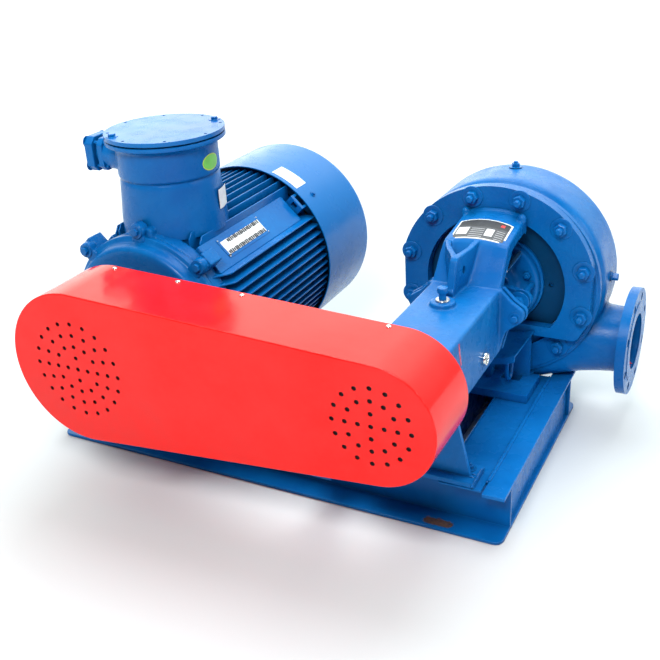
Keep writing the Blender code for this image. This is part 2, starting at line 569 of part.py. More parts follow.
def build_pump():
    ring = piece("cover_ring", prism(ring_outline(), "y", RING_FACE, RING_FACE + RING_THICK))
    cut(ring, prism(opening_outline(), "y", RING_FACE - 0.05, RING_FACE + 0.08))

    half = HOUSING_HALF
    low, high = PUMP_Z - 0.085, PUMP_Z + 0.085
    housing = piece("bearing_bracket", block((PUMP_X - half, PUMP_X + half), (HOUSING_START, HOUSING_END),
                                             (low, high), 0.006))
    arm = [(HOUSING_END - 0.030, high), (HOUSING_END - 0.006, high), (FRONT_Y + 0.621, 0.574),
           (FRONT_Y + 0.700, 0.590),
           (FRONT_Y + 0.766, 0.592), (RING_FACE - FIT_GAP, 0.602), (RING_FACE - FIT_GAP, 0.556),
           (FRONT_Y + 0.740, 0.562),
           (FRONT_Y + 0.660, 0.548), (FRONT_Y + 0.590, 0.479), (HOUSING_END - 0.002, 0.475),
           (HOUSING_END - 0.030, 0.460)]
    weld(housing, prism(arm, "x", PUMP_X - half + 0.002, PUMP_X + half - 0.002))
    rib = [(FRONT_Y + 0.466, high - 0.004), (FRONT_Y + 0.470, high + 0.018), (FRONT_Y + 0.540, high + 0.075),
           (FRONT_Y + 0.600, 0.572), (FRONT_Y + 0.624, 0.5735), (FRONT_Y + 0.600, 0.530),
           (HOUSING_END, high - 0.004)]
    weld(housing, prism(rib, "x", PUMP_X - 0.010, PUMP_X + 0.010))
    cut(housing, rod("x", (FRONT_Y + 0.528, high + 0.032), 0.015, PUMP_X - 0.05, PUMP_X + 0.05, 12))
    weld(housing, prism(eared_outline(0.120, 0.026, 0.079, 0.079), "y", HOUSING_END - 0.012, EARS_END))
    cut(housing, rod("y", CENTRE, 0.060, HOUSING_START - 0.02, EARS_END + 0.02, 24))

    hub = PUMP_SHAFT_RADIUS + 0.001
    start, end = HOUSING_START - 0.014, HOUSING_START - FIT_GAP
    cover = piece("bearing_cover_front", spun([(hub, start), (0.070, start), (0.070, end), (hub, end)], "y",
                                              CENTRE, 20))
    for n in range(4):
        ear = around(CENTRE, 0.072, math.pi / 4 + n * math.pi / 2)
        weld(cover, rod("y", ear, 0.014, start + 0.001, end - 0.002, 10))
    cover = piece("bearing_cover_rear", prism(eared_outline(0.120, 0.025, 0.074, 0.062), "y",
                                              EARS_END + FIT_GAP, EARS_END + 0.014))
    cut(cover, rod("y", CENTRE, hub, HOUSING_END - 0.02, EARS_END + 0.03, 16))

    shaft = spun([(0.0, FRONT_Y + 0.046), (PUMP_SHAFT_RADIUS, FRONT_Y + 0.046),
                  (PUMP_SHAFT_RADIUS, FRONT_Y + 0.850),
                  (0.0, FRONT_Y + 0.850)], "y", CENTRE, 16)
    piece("pump_shaft", shaft, "steel")

    cover_start = CASING_START + 0.008
    profile = [(hub, GLAND_FACE), (0.052, GLAND_FACE), (0.056, FRONT_Y + 0.782), (0.100, FRONT_Y + 0.790),
               (0.104, FRONT_Y + 0.794), (0.104, CASING_START), (0.122, CASING_START), (0.122, cover_start),
               (0.182, cover_start),
               (0.182, cover_start + 0.020), (hub, cover_start + 0.020)]
    stuffing = piece("stuffing_box_cover", spun(profile, "y", CENTRE, 32))
    cut(stuffing, rod("y", (PUMP_X + 0.141, PUMP_Z), 0.0065, cover_start - 0.02, cover_start + 0.012, 12))

    follower = piece("gland_follower", prism(eared_outline(0.0825, 0.024, 0.040, 0.044), "y",
                                             FOLLOWER_Y, FOLLOWER_Y + 0.014))
    weld(follower, rod("y", CENTRE, 0.036, FOLLOWER_Y + 0.01, GLAND_FACE - FIT_GAP, 20))
    cut(follower, rod("y", CENTRE, hub, FOLLOWER_Y - 0.02, GLAND_FACE + 0.02, 16))

    profile = [(0.0, CASING_START), (0.264, CASING_START), (0.264, CASING_START + 0.022),
               (0.259, CASING_START + 0.024),
               (0.259, CASING_START + 0.030), (CASING_RADIUS, CASING_START + 0.040),
               (CASING_RADIUS, CASING_END - 0.018),
               (CASING_RADIUS - 0.007, CASING_END - 0.005), (CASING_RADIUS - 0.022, CASING_END),
               (0.0, CASING_END)]
    casing = piece("pump_casing", spun(profile, "y", CASING_CENTRE, 42))
    face_x = SET_WIDTH / 2
    weld(casing, rod("x", (PORT_Y, PORT_Z), PIPE_RADIUS, PUMP_X + 0.04, face_x - FLANGE_THICK / 2, 24))
    weld(casing, rod("x", (PORT_Y, PORT_Z), FLANGE_RADIUS, face_x - FLANGE_THICK, face_x, 32))
    weld(casing, rod("y", CENTRE, PIPE_RADIUS, CASING_END - 0.02, REAR_Y - FLANGE_THICK / 2, 24))
    weld(casing, rod("y", CENTRE, FLANGE_RADIUS, REAR_Y - FLANGE_THICK, REAR_Y, 32))
    wall = 0.028
    cut(casing, rod("y", CASING_CENTRE, CHAMBER_RADIUS, CASING_START + wall, CASING_END - wall, 30))
    cut(casing, rod("y", CENTRE, 0.1835, CASING_START - 0.02, CASING_START + wall + 0.01, 34))
    cut(casing, rod("x", (PORT_Y, PORT_Z), BORE_RADIUS, PUMP_X + 0.05, face_x + 0.02, 24))
    cut(casing, rod("y", CENTRE, BORE_RADIUS, CASING_END - wall - 0.01, REAR_Y + 0.02, 24))
    cut(casing, flange_holes("x", (PORT_Y, PORT_Z), face_x - FLANGE_THICK - 0.008, face_x + 0.02))
    cut(casing, flange_holes("y", CENTRE, REAR_Y - FLANGE_THICK - 0.008, REAR_Y + 0.02))

    build_supports(low)


def tray_section(y, half, rim, dish, thick):
    """Cross-section of the cradle arm: a shallow dish with level rims."""
    across = [half * n / TRAY_STEPS for n in range(-TRAY_STEPS, TRAY_STEPS + 1)]
    upper = [(PUMP_X + x, rim - dish * (1 - (x / half) ** 4)) for x in across]
    lower = [(PUMP_X + x, rim - thick - 0.5 * dish) for x in reversed(across)]
    return [(x, y, z) for x, z in upper + lower]


def build_supports(housing_bottom):
    cradle_end = RING_FACE - FIT_GAP
    shape = bmesh.new()
    loops = [[shape.verts.new(spot) for spot in tray_section(*section)]
             for section in ((TRAY_START, 0.095, 0.2613, 0.012, 0.016),
                             (cradle_end, 0.112, 0.2848, 0.012, 0.020))]
    near, far = loops
    for n in range(len(near)):
        after = (n + 1) % len(near)
        shape.faces.new((near[n], near[after], far[after], far[n]))
    shape.faces.new(near)
    shape.faces.new(far)
    arm = piece("cradle_arm", shape)
    foot_top = 0.1405
    weld(arm, block((PUMP_X - 0.008, PUMP_X + 0.008), (TRAY_START + 0.010, cradle_end),
                    (foot_top + FIT_GAP, 0.246)))

    foot = piece("pump_foot", block((PUMP_X - FOOT_PLATE_HALF, PUMP_X + FOOT_PLATE_HALF),
                                    (FRONT_Y + 0.675, CASING_START - FIT_GAP),
                                    (DECK_TOP + FIT_GAP, foot_top)))
    cut(foot, merged([block((PUMP_X + turn * 0.057 - 0.026, PUMP_X + turn * 0.057 + 0.026),
                            (FRONT_Y + 0.747, FRONT_Y + 0.782), (0.08, 0.20)) for turn in (-1.0, 1.0)]))
    weld(foot, block((PUMP_X - 0.100, PUMP_X + 0.100), (RING_FACE + 0.011, CASING_START - 0.002),
                     (foot_top - 0.004, PUMP_Z - RING_BOTTOM - FIT_GAP)))

    support_y = FRONT_Y + 0.292
    top = housing_bottom - FIT_GAP
    outline = [(PUMP_X - 0.122, DECK_TOP + FIT_GAP), (PUMP_X + 0.122, DECK_TOP + FIT_GAP),
               (PUMP_X + 0.118, 0.130),
               (PUMP_X + 0.105, 0.130), (PUMP_X + 0.062, top), (PUMP_X - 0.062, top), (PUMP_X - 0.105, 0.130),
               (PUMP_X - 0.118, 0.130)]
    support = piece("pump_front_support", prism(outline, "y", support_y, support_y + 0.012))
    weld(support, block((PUMP_X - 0.122, PUMP_X + 0.122), (FRONT_Y + 0.268, FRONT_Y + 0.345),
                        (DECK_TOP + FIT_GAP, 0.130)))
    weld(support, block((PUMP_X - 0.006, PUMP_X + 0.006), (support_y + 0.006, FRONT_Y + 0.342), (0.126, top)))


def build_fittings():
    top = PUMP_Z + 0.085 + FIT_GAP
    piece("oil_filler", spun([(0.0, top), (0.028, top), (0.028, top + 0.010), (0.026, top + 0.013),
                              (0.013, top + 0.013),
                              (0.013, top + 0.022), (0.010, top + 0.022), (0.010, top + 0.036),
                              (0.0, top + 0.036)],
                             "z", (PUMP_X - 0.011, FRONT_Y + 0.422), 16))
    side = PUMP_X + HOUSING_HALF + FIT_GAP
    piece("oil_sight", spun([(0.0, side), (0.016, side), (0.016, side + 0.008), (0.011, side + 0.010),
                             (0.011, side + 0.006), (0.0, side + 0.006)], "x", (FRONT_Y + 0.433, 0.363),
                             16), "steel")
    piece("motor_nameplate", name_plate(), "steel")


def name_plate():
    top = PAD_REACH + FIT_GAP
    return on_motor(block((-0.034, 0.024), (FRONT_Y + 0.4015, FRONT_Y + 0.597), (top, top + 0.0015)),
                    math.pi / 4)


clear_scene()
PARTS = new_collection(OBJECT_NAME)
TOOLS = new_collection(OBJECT_NAME + "_tools")
build_base()
build_motor()
build_terminal_box()
build_drive()
build_pump()
build_fittings()
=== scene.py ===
"""Looks of the shear pump set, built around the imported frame.
Shapes are worked out in the set's own coordinates: x from the motor's axis, y back from the guard's front
face and z up from the floor. They are moved to the frame's origin when a piece is made."""

import math

import bmesh
import bpy
from mathutils import Matrix, Vector


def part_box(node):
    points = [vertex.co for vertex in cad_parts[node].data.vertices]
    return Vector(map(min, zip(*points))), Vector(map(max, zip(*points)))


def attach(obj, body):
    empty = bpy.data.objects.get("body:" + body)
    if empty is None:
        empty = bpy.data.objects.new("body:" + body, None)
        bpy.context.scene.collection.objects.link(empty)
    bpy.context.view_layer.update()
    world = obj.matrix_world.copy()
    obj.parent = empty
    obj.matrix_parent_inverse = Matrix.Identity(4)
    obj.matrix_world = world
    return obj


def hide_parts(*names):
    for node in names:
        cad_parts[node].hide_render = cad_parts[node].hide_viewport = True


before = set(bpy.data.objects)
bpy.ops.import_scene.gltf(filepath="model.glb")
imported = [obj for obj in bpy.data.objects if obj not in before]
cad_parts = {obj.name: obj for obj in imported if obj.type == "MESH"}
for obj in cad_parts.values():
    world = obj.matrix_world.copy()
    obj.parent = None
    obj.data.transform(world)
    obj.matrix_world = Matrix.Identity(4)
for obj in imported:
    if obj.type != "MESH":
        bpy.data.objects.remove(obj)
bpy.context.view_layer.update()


def centre_of(node):
    low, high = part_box(node)
    return (Vector(low) + Vector(high)) / 2


ORIGIN = Vector((centre_of("motor_shaft").x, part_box("guard_cover")[0][1], 0.0))

FORWARD, UPWARD = (0.0, -1.0, 0.0), (0.0, 0.0, 1.0)

# Motor
MOTOR_Z = centre_of("motor_shaft").z
MOTOR = (0.0, MOTOR_Z)
CORE_RADIUS = 0.207
FIN_RADIUS = 0.249
FIN_PITCH = 0.0215
FRAME_START, FRAME_END = 0.302, 0.79
COLLAR_RADIUS = 0.225
COWL_RADIUS = 0.2605
COWL_START, COWL_END = 0.776, 1.045
BOSS_CIRCLE = 0.24
PAD_REACH = 0.231

# Terminal box
BOX = (0.0, 0.44)
LID_RADIUS = 0.149
LID_TOP = 0.8475
BOX_RADIUS = 0.127
LID_SCREWS = 0.138
GLAND = (BOX[1], 0.775)

# Guard
GUARD_DEPTH = 0.18
GUARD_WALL = 0.003
GUARD_RADII = (0.189, 0.138)
VENT_PITCH = 0.0288
VENT_RADIUS = 0.0054
MOTOR_VENT_RINGS, PUMP_VENT_RINGS = (1, 4, 12, 16, 20), (1, 4, 12, 16)

# Pump
PUMP_X = 0.742
PUMP_Z = centre_of("pump_shaft").z
PUMP = (PUMP_X, PUMP_Z)
GUARD_RIGHT, VENTS_RIGHT = (PUMP_X, PUMP_Z + 0.006), (PUMP_X, PUMP_Z + 0.0075)
HOUSING_HALF = 0.0855
HOUSING_TOP, HOUSING_LOW = PUMP_Z + 0.085, PUMP_Z - 0.085
HOUSING_START, HOUSING_END = 0.205, 0.556
OIL_FILLER = (0.731, 0.426)
RING_FACE = 0.774
RING_THICK = 0.026
RING_RADIUS = 0.261
RING_FLAT = 0.2505
RING_BOTTOM = 0.134
OPENING_RADIUS = 0.185
OPENING_SILL = 0.106
STUD_CIRCLE = 0.2373
CASING_START, CASING_END = 0.8003, 0.998
CASING_RADIUS = 0.2695
CASING = (PUMP_X + 0.004, PUMP_Z - 0.008)
PIPE_RADIUS = 0.088
BORE_RADIUS = 0.0745
PORT = (0.901, 0.2325)
PORT_FACE = 1.091
FLANGE_RADIUS = 0.1425
FLANGE_THICK = 0.026
FLANGE_BOLT_CIRCLE = 0.12
FLANGE_HOLE = 0.011
REAR_FACE = 1.15

# Base
BASE_FRONT = 0.236
DECK_TOP = 0.117
SLOT_INSET, SLOT_BACK = 0.16, 0.022
SLOT_HALF, SLOT_RADIUS = 0.025, 0.0145

# Camera, fitted to the photo's frame
CAMERA_PLACE = (1.058, -1.9987, 1.3944)
CAMERA_RIGHT, CAMERA_UP = Vector((0.8911, 0.4503, -0.0565)), Vector((-0.1521, 0.4135, 0.8977))
LENS, SENSOR = 51.57, 36.0

# Sky: brightest low behind the set, dim in front; shares along the bright direction and their colours
SKY_DIRECTION = (-0.36, 0.76, 0.54)
SKY = ((0.0, (0.18, 0.21, 0.22)), (0.4, (0.32, 0.37, 0.38)), (0.7, (1.1, 1.28, 1.24)), (0.86,
                                                                                        (2.45, 2.6, 2.4)),
       (1.0, (2.45, 2.6, 2.4)))

# Colours, linear
BLUE = (0.002, 0.145, 0.44)
BLUE_DEEP = (0.001, 0.098, 0.35)
RED = (0.86, 0.008, 0.006)
RED_DEEP = (0.78, 0.016, 0.014)


# Shapes


def prism(outline, axis, start, end):
    """Outline points are the two other coordinates in X, Y, Z order."""
    along = "xyz".index(axis)
    sections = []
    for place in (start, end):
        spots = [list(pair) for pair in outline]
        for spot in spots:
            spot.insert(along, place)
        sections.append(spots)
    return loft(sections)


def loft(sections, capped=True):
    """Skins closed sections that have the same number of points; uncapped, the last meets the first."""
    shape = bmesh.new()
    rings = [[shape.verts.new(spot) for spot in section] for section in sections]
    pairs = list(zip(rings, rings[1:]))
    if capped:
        shape.faces.new(rings[0])
        shape.faces.new(list(reversed(rings[-1])))
    else:
        pairs.append((rings[-1], rings[0]))
    for near, far in pairs:
        for n in range(len(near)):
            after = (n + 1) % len(near)
            shape.faces.new((near[n], near[after], far[after], far[n]))
    return shape


def block(xs, ys, zs):
    return prism([(xs[0], ys[0]), (xs[1], ys[0]), (xs[1], ys[1]), (xs[0], ys[1])], "z", *zs)


AXIS_TURN = {
    "x": Matrix.Rotation(math.pi / 2, 4, "Y"),
    "y": Matrix.Rotation(-math.pi / 2, 4, "X"),
    "z": Matrix.Identity(4),
}


def spun(profile, axis, centre, steps=96):
    """Turns a closed profile of (radius, place along the axis); centre is the two other coordinates."""
    shape = bmesh.new()
    rings = []
    for radius, along in profile:
        count = steps if radius > 1e-6 else 1
        rings.append([shape.verts.new((*spot, along)) for spot in circle((0.0, 0.0), radius, count)])
    for near, far in zip(rings, rings[1:] + rings[:1]):
        if len(near) == 1 and len(far) == 1:
            continue
        for n in range(steps):
            after = (n + 1) % steps
            corners = [near[n % len(near)], near[after % len(near)], far[after % len(far)],
                       far[n % len(far)]]
            shape.faces.new(list(dict.fromkeys(corners)))
    bmesh.ops.transform(shape, matrix=AXIS_TURN[axis], verts=shape.verts)
    offset = list(centre)
    offset.insert("xyz".index(axis), 0.0)
    return moved(shape, offset)


def solid(profile, axis, centre, steps=96):
    """Turns a profile whose two ends run straight to the axis."""
    return spun([(0.0, profile[0][1]), *profile, (0.0, profile[-1][1])], axis, centre, steps)


def hollow(inner, outer, start, end, axis, centre, steps=96):
    return spun([(inner, start), (outer, start), (outer, end), (inner, end)], axis, centre, steps)


def moved(shape, offset):
    bmesh.ops.translate(shape, vec=Vector(offset), verts=shape.verts)
    return shape


def on_motor(shape, turn):
    """Turns a shape made upright over the motor's axis about that axis, clockwise from the front."""
    bmesh.ops.rotate(shape, cent=(0, 0, 0), matrix=Matrix.Rotation(turn, 3, "Y"), verts=shape.verts)
    return moved(shape, (0.0, 0.0, MOTOR_Z))


def around(centre, radius, angle):
    return centre[0] + radius * math.cos(angle), centre[1] + radius * math.sin(angle)


def arc(centre, radius, start, end, count):
    return [around(centre, radius, start + (end - start) * n / count) for n in range(count + 1)]


def circle(centre, radius, count):
    return [around(centre, radius, 2 * math.pi * n / count) for n in range(count)]


def ease(value):
    clear = min(max(value, 0.0), 1.0)
    return clear * clear * (3 - 2 * clear)


def joined(shapes):
    total = bmesh.new()
    for shape in shapes:
        part = bpy.data.meshes.new("part")
        shape.to_mesh(part)
        shape.free()
        total.from_mesh(part)
        bpy.data.meshes.remove(part)
    return total


def copies(template, spots):
    """Puts a shape made along +Z at each place, along each direction, each turned a little further."""
    total = bmesh.new()
    part = bpy.data.meshes.new("part")
    template.to_mesh(part)
    template.free()
    for number, (place, direction) in enumerate(spots):
        aim = Vector(direction).to_track_quat("Z", "Y").to_matrix().to_4x4()
        spin = Matrix.Rotation(0.7 * number, 4, "Z")
        fresh = part.copy()
        fresh.transform(Matrix.Translation(place) @ (aim @ spin))
        total.from_mesh(fresh)
        bpy.data.meshes.remove(fresh)
    bpy.data.meshes.remove(part)
    return total


def drawn(curve, runs, cyclic):
    """Shape of a curve object whose splines go through runs of points."""
    for points in runs:
        spline = curve.splines.new("POLY")
        spline.points.add(len(points) - 1)
        for point, spot in zip(spline.points, points):
            point.co = (*spot, 1.0)
        spline.use_cyclic_u = cyclic
    holder = bpy.data.objects.new("drawn", curve)
    bpy.context.scene.collection.objects.link(holder)
    mesh = bpy.data.meshes.new_from_object(holder)
    bpy.data.objects.remove(holder)
    bpy.data.curves.remove(curve)
    shape = bmesh.new()
    shape.from_mesh(mesh)
    bpy.data.meshes.remove(mesh)
    bmesh.ops.remove_doubles(shape, verts=shape.verts, dist=1e-6)
    return shape


def plate(outline, holes, axis, start, end):
    """Flat sheet with round or shaped holes; outline and holes are lists of the two other coordinates."""
    curve = bpy.data.curves.new("sheet", "CURVE")
    curve.dimensions = "2D"
    curve.fill_mode = "BOTH"
    curve.extrude = (end - start) / 2
    shape = drawn(curve, [[(*pair, 0.0) for pair in points] for points in [outline] + holes], True)
    order = {"x": (2, 0, 1), "y": (0, 2, 1), "z": (0, 1, 2)}[axis]
    middle = (start + end) / 2
    for vert in shape.verts:
        spot = (vert.co.x, vert.co.y, vert.co.z + middle)
        vert.co = [spot[n] for n in order]
    return shape


def hex_head(across, height, washer, tail=0.0):
    """Hexagon head on a washer along +Z, with a threaded end standing out of it where tail is given."""
    corner = across / math.sqrt(3)
    shapes = [solid([(corner, washer * 0.5), (corner, washer + height * 0.86),
                     (corner * 0.88, washer + height)], "z", (0, 0), 6)]
    if washer:
        shapes.append(solid([(across * 0.95, 0.0), (across * 0.95, washer * 0.8), (across * 0.9, washer)],
                            "z", (0, 0), 32))
    if tail:
        radius = across * 0.3
        top = washer + height
        shapes.append(solid([(radius, top * 0.5), (radius, top + tail * 0.75), (radius * 0.75, top + tail)],
                            "z", (0, 0), 24))
    return joined(shapes)


def tube(points, radius):
    """Round bar along a smooth run of points."""
    curve = bpy.data.curves.new("bar", "CURVE")
    curve.dimensions = "3D"
    curve.bevel_depth = radius
    curve.bevel_resolution = 3
    curve.use_fill_caps = True
    return drawn(curve, [points], False)


# Pieces


def linked(name, shape):
    """Object made of a shape, moved from the set's coordinates to the frame's."""
    mesh = bpy.data.meshes.new(name)
    bmesh.ops.translate(shape, vec=ORIGIN, verts=shape.verts)
    bmesh.ops.recalc_face_normals(shape, faces=shape.faces)
    shape.to_mesh(mesh)
    shape.free()
    made = bpy.data.objects.new(name, mesh)
    bpy.context.scene.collection.objects.link(made)
    return made


def round_edges(made, width, sharp, segments=2):
    step = made.modifiers.new("edges", "BEVEL")
    step.width = width
    step.segments = segments
    step.limit_method = "ANGLE"
    step.angle_limit = math.radians(sharp)


def keep_flat(made):
    """Keeps flat faces flat under smooth shading."""
    step = made.modifiers.new("normals", "WEIGHTED_NORMAL")
    step.keep_sharp = True


def piece(name, shape, finish, replaced=(), bevel=0.0, sharp=35, segments=2):
    made = linked(name, shape)
    made.data.materials.append(finish)
    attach(made, "root")
    if replaced:
        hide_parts(*replaced)
    if bevel:
        round_edges(made, bevel, sharp, segments)
    made.data.shade_smooth()
    if not bevel:
        made.data.set_sharp_from_angle(angle=math.radians(sharp))
    keep_flat(made)
    return made


def cast(name, shapes, voxel, smoothing, finish, replaced=()):
    """Runs overlapping closed shapes together into one soft-edged casting."""
    made = piece(name, joined(shapes), finish, replaced)
    made.modifiers.clear()
    step = made.modifiers.new("skin", "REMESH")
    step.mode = "VOXEL"
    step.voxel_size = voxel
    step.use_smooth_shade = True
    step = made.modifiers.new("soften", "SMOOTH")
    step.factor = 0.5
    step.iterations = smoothing
    return made


def trimmed(made, shape):
    """Cuts a closed shape out of a piece."""
    tool = linked(made.name + "_cut", shape)
    step = made.modifiers.new("cut", "BOOLEAN")
    step.operation = "DIFFERENCE"
    step.solver = "EXACT"
    step.object = tool
    settle(made)
    bpy.data.objects.remove(tool)


def settle(made):
    """Turns the result of the modifiers into the piece's own mesh."""
    bpy.context.view_layer.update()
    seen = made.evaluated_get(bpy.context.evaluated_depsgraph_get())
    mesh = bpy.data.meshes.new_from_object(seen)
    made.modifiers.clear()
    made.data = mesh


# Materials


class Graph:
    """Short calls for the nodes of one material."""

    def __init__(self, name):
        self.material = bpy.data.materials.new(name)
        self.material.use_nodes = True
        self.nodes = self.material.node_tree.nodes
        self.shader = self.nodes["Principled BSDF"]
        self.place = self.add("ShaderNodeTexCoord").outputs["Object"]

    def add(self, kind, **values):
        node = self.nodes.new(kind)
        for key, value in values.items():
            setattr(node, key, value)
        return node

    def feed(self, socket, value):
        if isinstance(value, bpy.types.NodeSocket):
            self.material.node_tree.links.new(value, socket)
        elif isinstance(value, tuple) and len(value) == 3 and socket.type == "RGBA":
            socket.default_value = (*value, 1.0)
        else:
            socket.default_value = value

    def set(self, **values):
        for key, value in values.items():
            self.feed(self.shader.inputs[key.replace("_", " ")], value)

    def stretched(self, scale):
        node = self.add("ShaderNodeMapping")
        self.feed(node.inputs["Vector"], self.place)
        node.inputs["Scale"].default_value = scale
        return node.outputs["Vector"]

    def noise(self, scale, detail=3.0, roughness=0.55, stretch=None):
        node = self.add("ShaderNodeTexNoise")
        self.feed(node.inputs["Vector"], self.stretched(stretch) if stretch else self.place)
        node.inputs["Scale"].default_value = scale
        node.inputs["Detail"].default_value = detail
        node.inputs["Roughness"].default_value = roughness
        return node.outputs["Fac"]

    def span(self, value, low, high, to_low=0.0, to_high=1.0):
        node = self.add("ShaderNodeMapRange")
        for key, number in (("Value", value), ("From Min", low), ("From Max", high), ("To Min", to_low),
                            ("To Max", to_high)):
            self.feed(node.inputs[key], number)
        return node.outputs["Result"]

    def math(self, operation, first, second=0.5):
        node = self.add("ShaderNodeMath", operation=operation)
        self.feed(node.inputs[0], first)
        self.feed(node.inputs[1], second)
        return node.outputs[0]

    def mix(self, share, first, second):
        node = self.add("ShaderNodeMix", data_type="RGBA")
        self.feed(node.inputs[0], share)
        self.feed(node.inputs[6], first)
        self.feed(node.inputs[7], second)
        return node.outputs[2]

    def bump(self, height, strength, distance, after=None):
        node = self.add("ShaderNodeBump")
        node.inputs["Strength"].default_value = strength
        node.inputs["Distance"].default_value = distance
        self.feed(node.inputs["Height"], height)
        if after:
            self.feed(node.inputs["Normal"], after)
        return node.outputs["Normal"]

    # Ambient occlusion, used for painted shade in crevices
    def crevice(self, reach):
        node = self.add("ShaderNodeAmbientOcclusion", samples=6)
        node.inputs["Distance"].default_value = reach
        return node.outputs["AO"]


def aged_and_shaded(graph, colour, deep, crevice_shade, flecks=0.0):
    """Colour that drifts toward a deeper one, with painted shade that darkens it in crevices."""
    tone = graph.mix(graph.span(graph.noise(5.0, 4.0, 0.6), 0.35, 0.68), colour, deep)
    if flecks:
        tone = graph.mix(graph.span(graph.noise(60.0, 4.0, 0.7), 0.45, 0.75, 0.0, flecks), tone, deep)
    # Painted shade: darkens the colour where ambient occlusion finds crevices
    shade = graph.span(graph.crevice(0.035), 0.25, 0.85, crevice_shade, 0.0)
    return graph.mix(shade, tone, tuple(0.25 * value for value in deep))


def paint(name, colour, deep, rough=0.22, shine=0.2, peel=0.05, waves=0.12, grain=0.0, crevice_shade=0.45):
    """Brushed-on gloss paint: uneven colour, fine orange peel, slow dents and painted shade in crevices."""
    graph = Graph(name)
    tone = aged_and_shaded(graph, colour, deep, crevice_shade, 0.35)
    gloss = graph.span(graph.noise(22.0, 3.0), 0.35, 0.7, rough * 0.75, rough * 1.45)
    normal = graph.bump(graph.noise(4.5, 2.0), waves, 0.02)
    if grain:
        normal = graph.bump(graph.noise(150.0, 5.0, 0.65), grain, 0.0022, normal)
    normal = graph.bump(graph.noise(420.0, 2.0), peel, 0.0006, normal)
    graph.set(Base_Color=tone, Roughness=gloss, Normal=normal, Specular_IOR_Level=shine)
    return graph.material


def metal(name, colour, rough, streak=(1.0, 1.0, 1.0), stain=(0.2, 0.13, 0.08)):
    """Bare steel with fine tool marks and a little staining."""
    graph = Graph(name)
    marks = graph.noise(90.0, 4.0, 0.7, stretch=streak)
    spots = graph.span(graph.noise(28.0, 4.0, 0.6), 0.6, 0.78, 0.0, 0.5)
    tone = graph.mix(spots, colour, stain)
    graph.set(Base_Color=tone, Metallic=1.0,
              Roughness=graph.span(marks, 0.3, 0.7, rough * 0.7, rough * 1.5),
              Normal=graph.bump(marks, 0.1, 0.0008))
    return graph.material


def matt(name, colour, rough, scale):
    graph = Graph(name)
    tone = graph.mix(graph.span(graph.noise(scale, 4.0), 0.35, 0.7), colour, tuple(1.8 * v for v in colour))
    graph.set(Base_Color=tone, Roughness=graph.span(graph.noise(scale * 3, 3.0), 0.3, 0.7, rough * 0.8,
                                                    rough * 1.2),
              Normal=graph.bump(graph.noise(scale * 6, 3.0), 0.15, 0.0005))
    return graph.material


def rusty_paint(name, centres):
    """The blue paint, with rust in and round the anchor slots."""
    graph = Graph(name)
    # Painted shade in crevices, at strength 0.5
    tone = aged_and_shaded(graph, BLUE, BLUE_DEEP, 0.5)
    ragged = graph.span(graph.noise(130.0, 5.0, 0.7), 0.3, 0.7, -0.006, 0.006)
    apart = graph.add("ShaderNodeSeparateXYZ")
    graph.feed(apart.inputs[0], graph.place)
    mask = 0.0
    for x, y in centres:
        across = graph.math("ABSOLUTE", graph.math("SUBTRACT", apart.outputs[0], x))
        across = graph.math("MAXIMUM", graph.math("SUBTRACT", across, 0.024), 0.0)
        along = graph.math("SUBTRACT", apart.outputs[1], y)
        reach = graph.math("SQRT", graph.math("ADD", graph.math("MULTIPLY", across, across),
                                              graph.math("MULTIPLY", along, along)))
        near = graph.span(graph.math("ADD", reach, ragged), 0.0105, 0.015, 0.8, 0.0)
        mask = near if mask == 0.0 else graph.math("MAXIMUM", mask, near)
    rust = graph.mix(graph.span(graph.noise(90.0, 4.0), 0.3, 0.7), (0.17, 0.09, 0.045),
                     (0.045, 0.045, 0.06))
    tone = graph.mix(mask, tone, rust)
    gloss = graph.mix(mask, (0.24, 0.24, 0.24), (0.85, 0.85, 0.85))
    normal = graph.bump(graph.noise(4.5, 2.0), 0.12, 0.02)
    normal = graph.bump(graph.noise(420.0, 2.0), 0.05, 0.0006, normal)
    graph.set(Base_Color=tone, Roughness=gloss, Normal=normal, Specular_IOR_Level=0.2)
    return graph.material


def printed(name, colour, rough=0.45):
    """Painted label or enamel field with slight soiling."""
    graph = Graph(name)
    soil = graph.span(graph.noise(45.0, 4.0, 0.6), 0.45, 0.8, 0.0, 0.35)
    tone = graph.mix(soil, colour, tuple(0.55 * v for v in colour))
    graph.set(Base_Color=tone, Roughness=graph.span(graph.noise(80.0, 3.0), 0.3, 0.7, rough * 0.7,
                                                    rough * 1.3), Normal=graph.bump(graph.noise(200.0, 3.0),
                                                                                    0.06, 0.0004))
    return graph.material


# Each blue and red paint below darkens its crevices with painted shade, at its own strength
SHEET = paint("sheet_blue", BLUE, BLUE_DEEP)
CAST = paint("cast_blue", BLUE, BLUE_DEEP, rough=0.27, shine=0.16, waves=0.22, grain=0.3, crevice_shade=0.55)
SMOOTH = paint("cowl_blue", BLUE, BLUE, rough=0.22, shine=0.22, waves=0.05)
# Painted light: a lighter copy of the blue paint for the base frame, so its deck and beam tops look
# brightly lit
LIT_BEAM_BLUE = paint("beam_blue", (0.006, 0.185, 0.56), (0.003, 0.13, 0.43), rough=0.26, shine=0.15, waves=0.1)
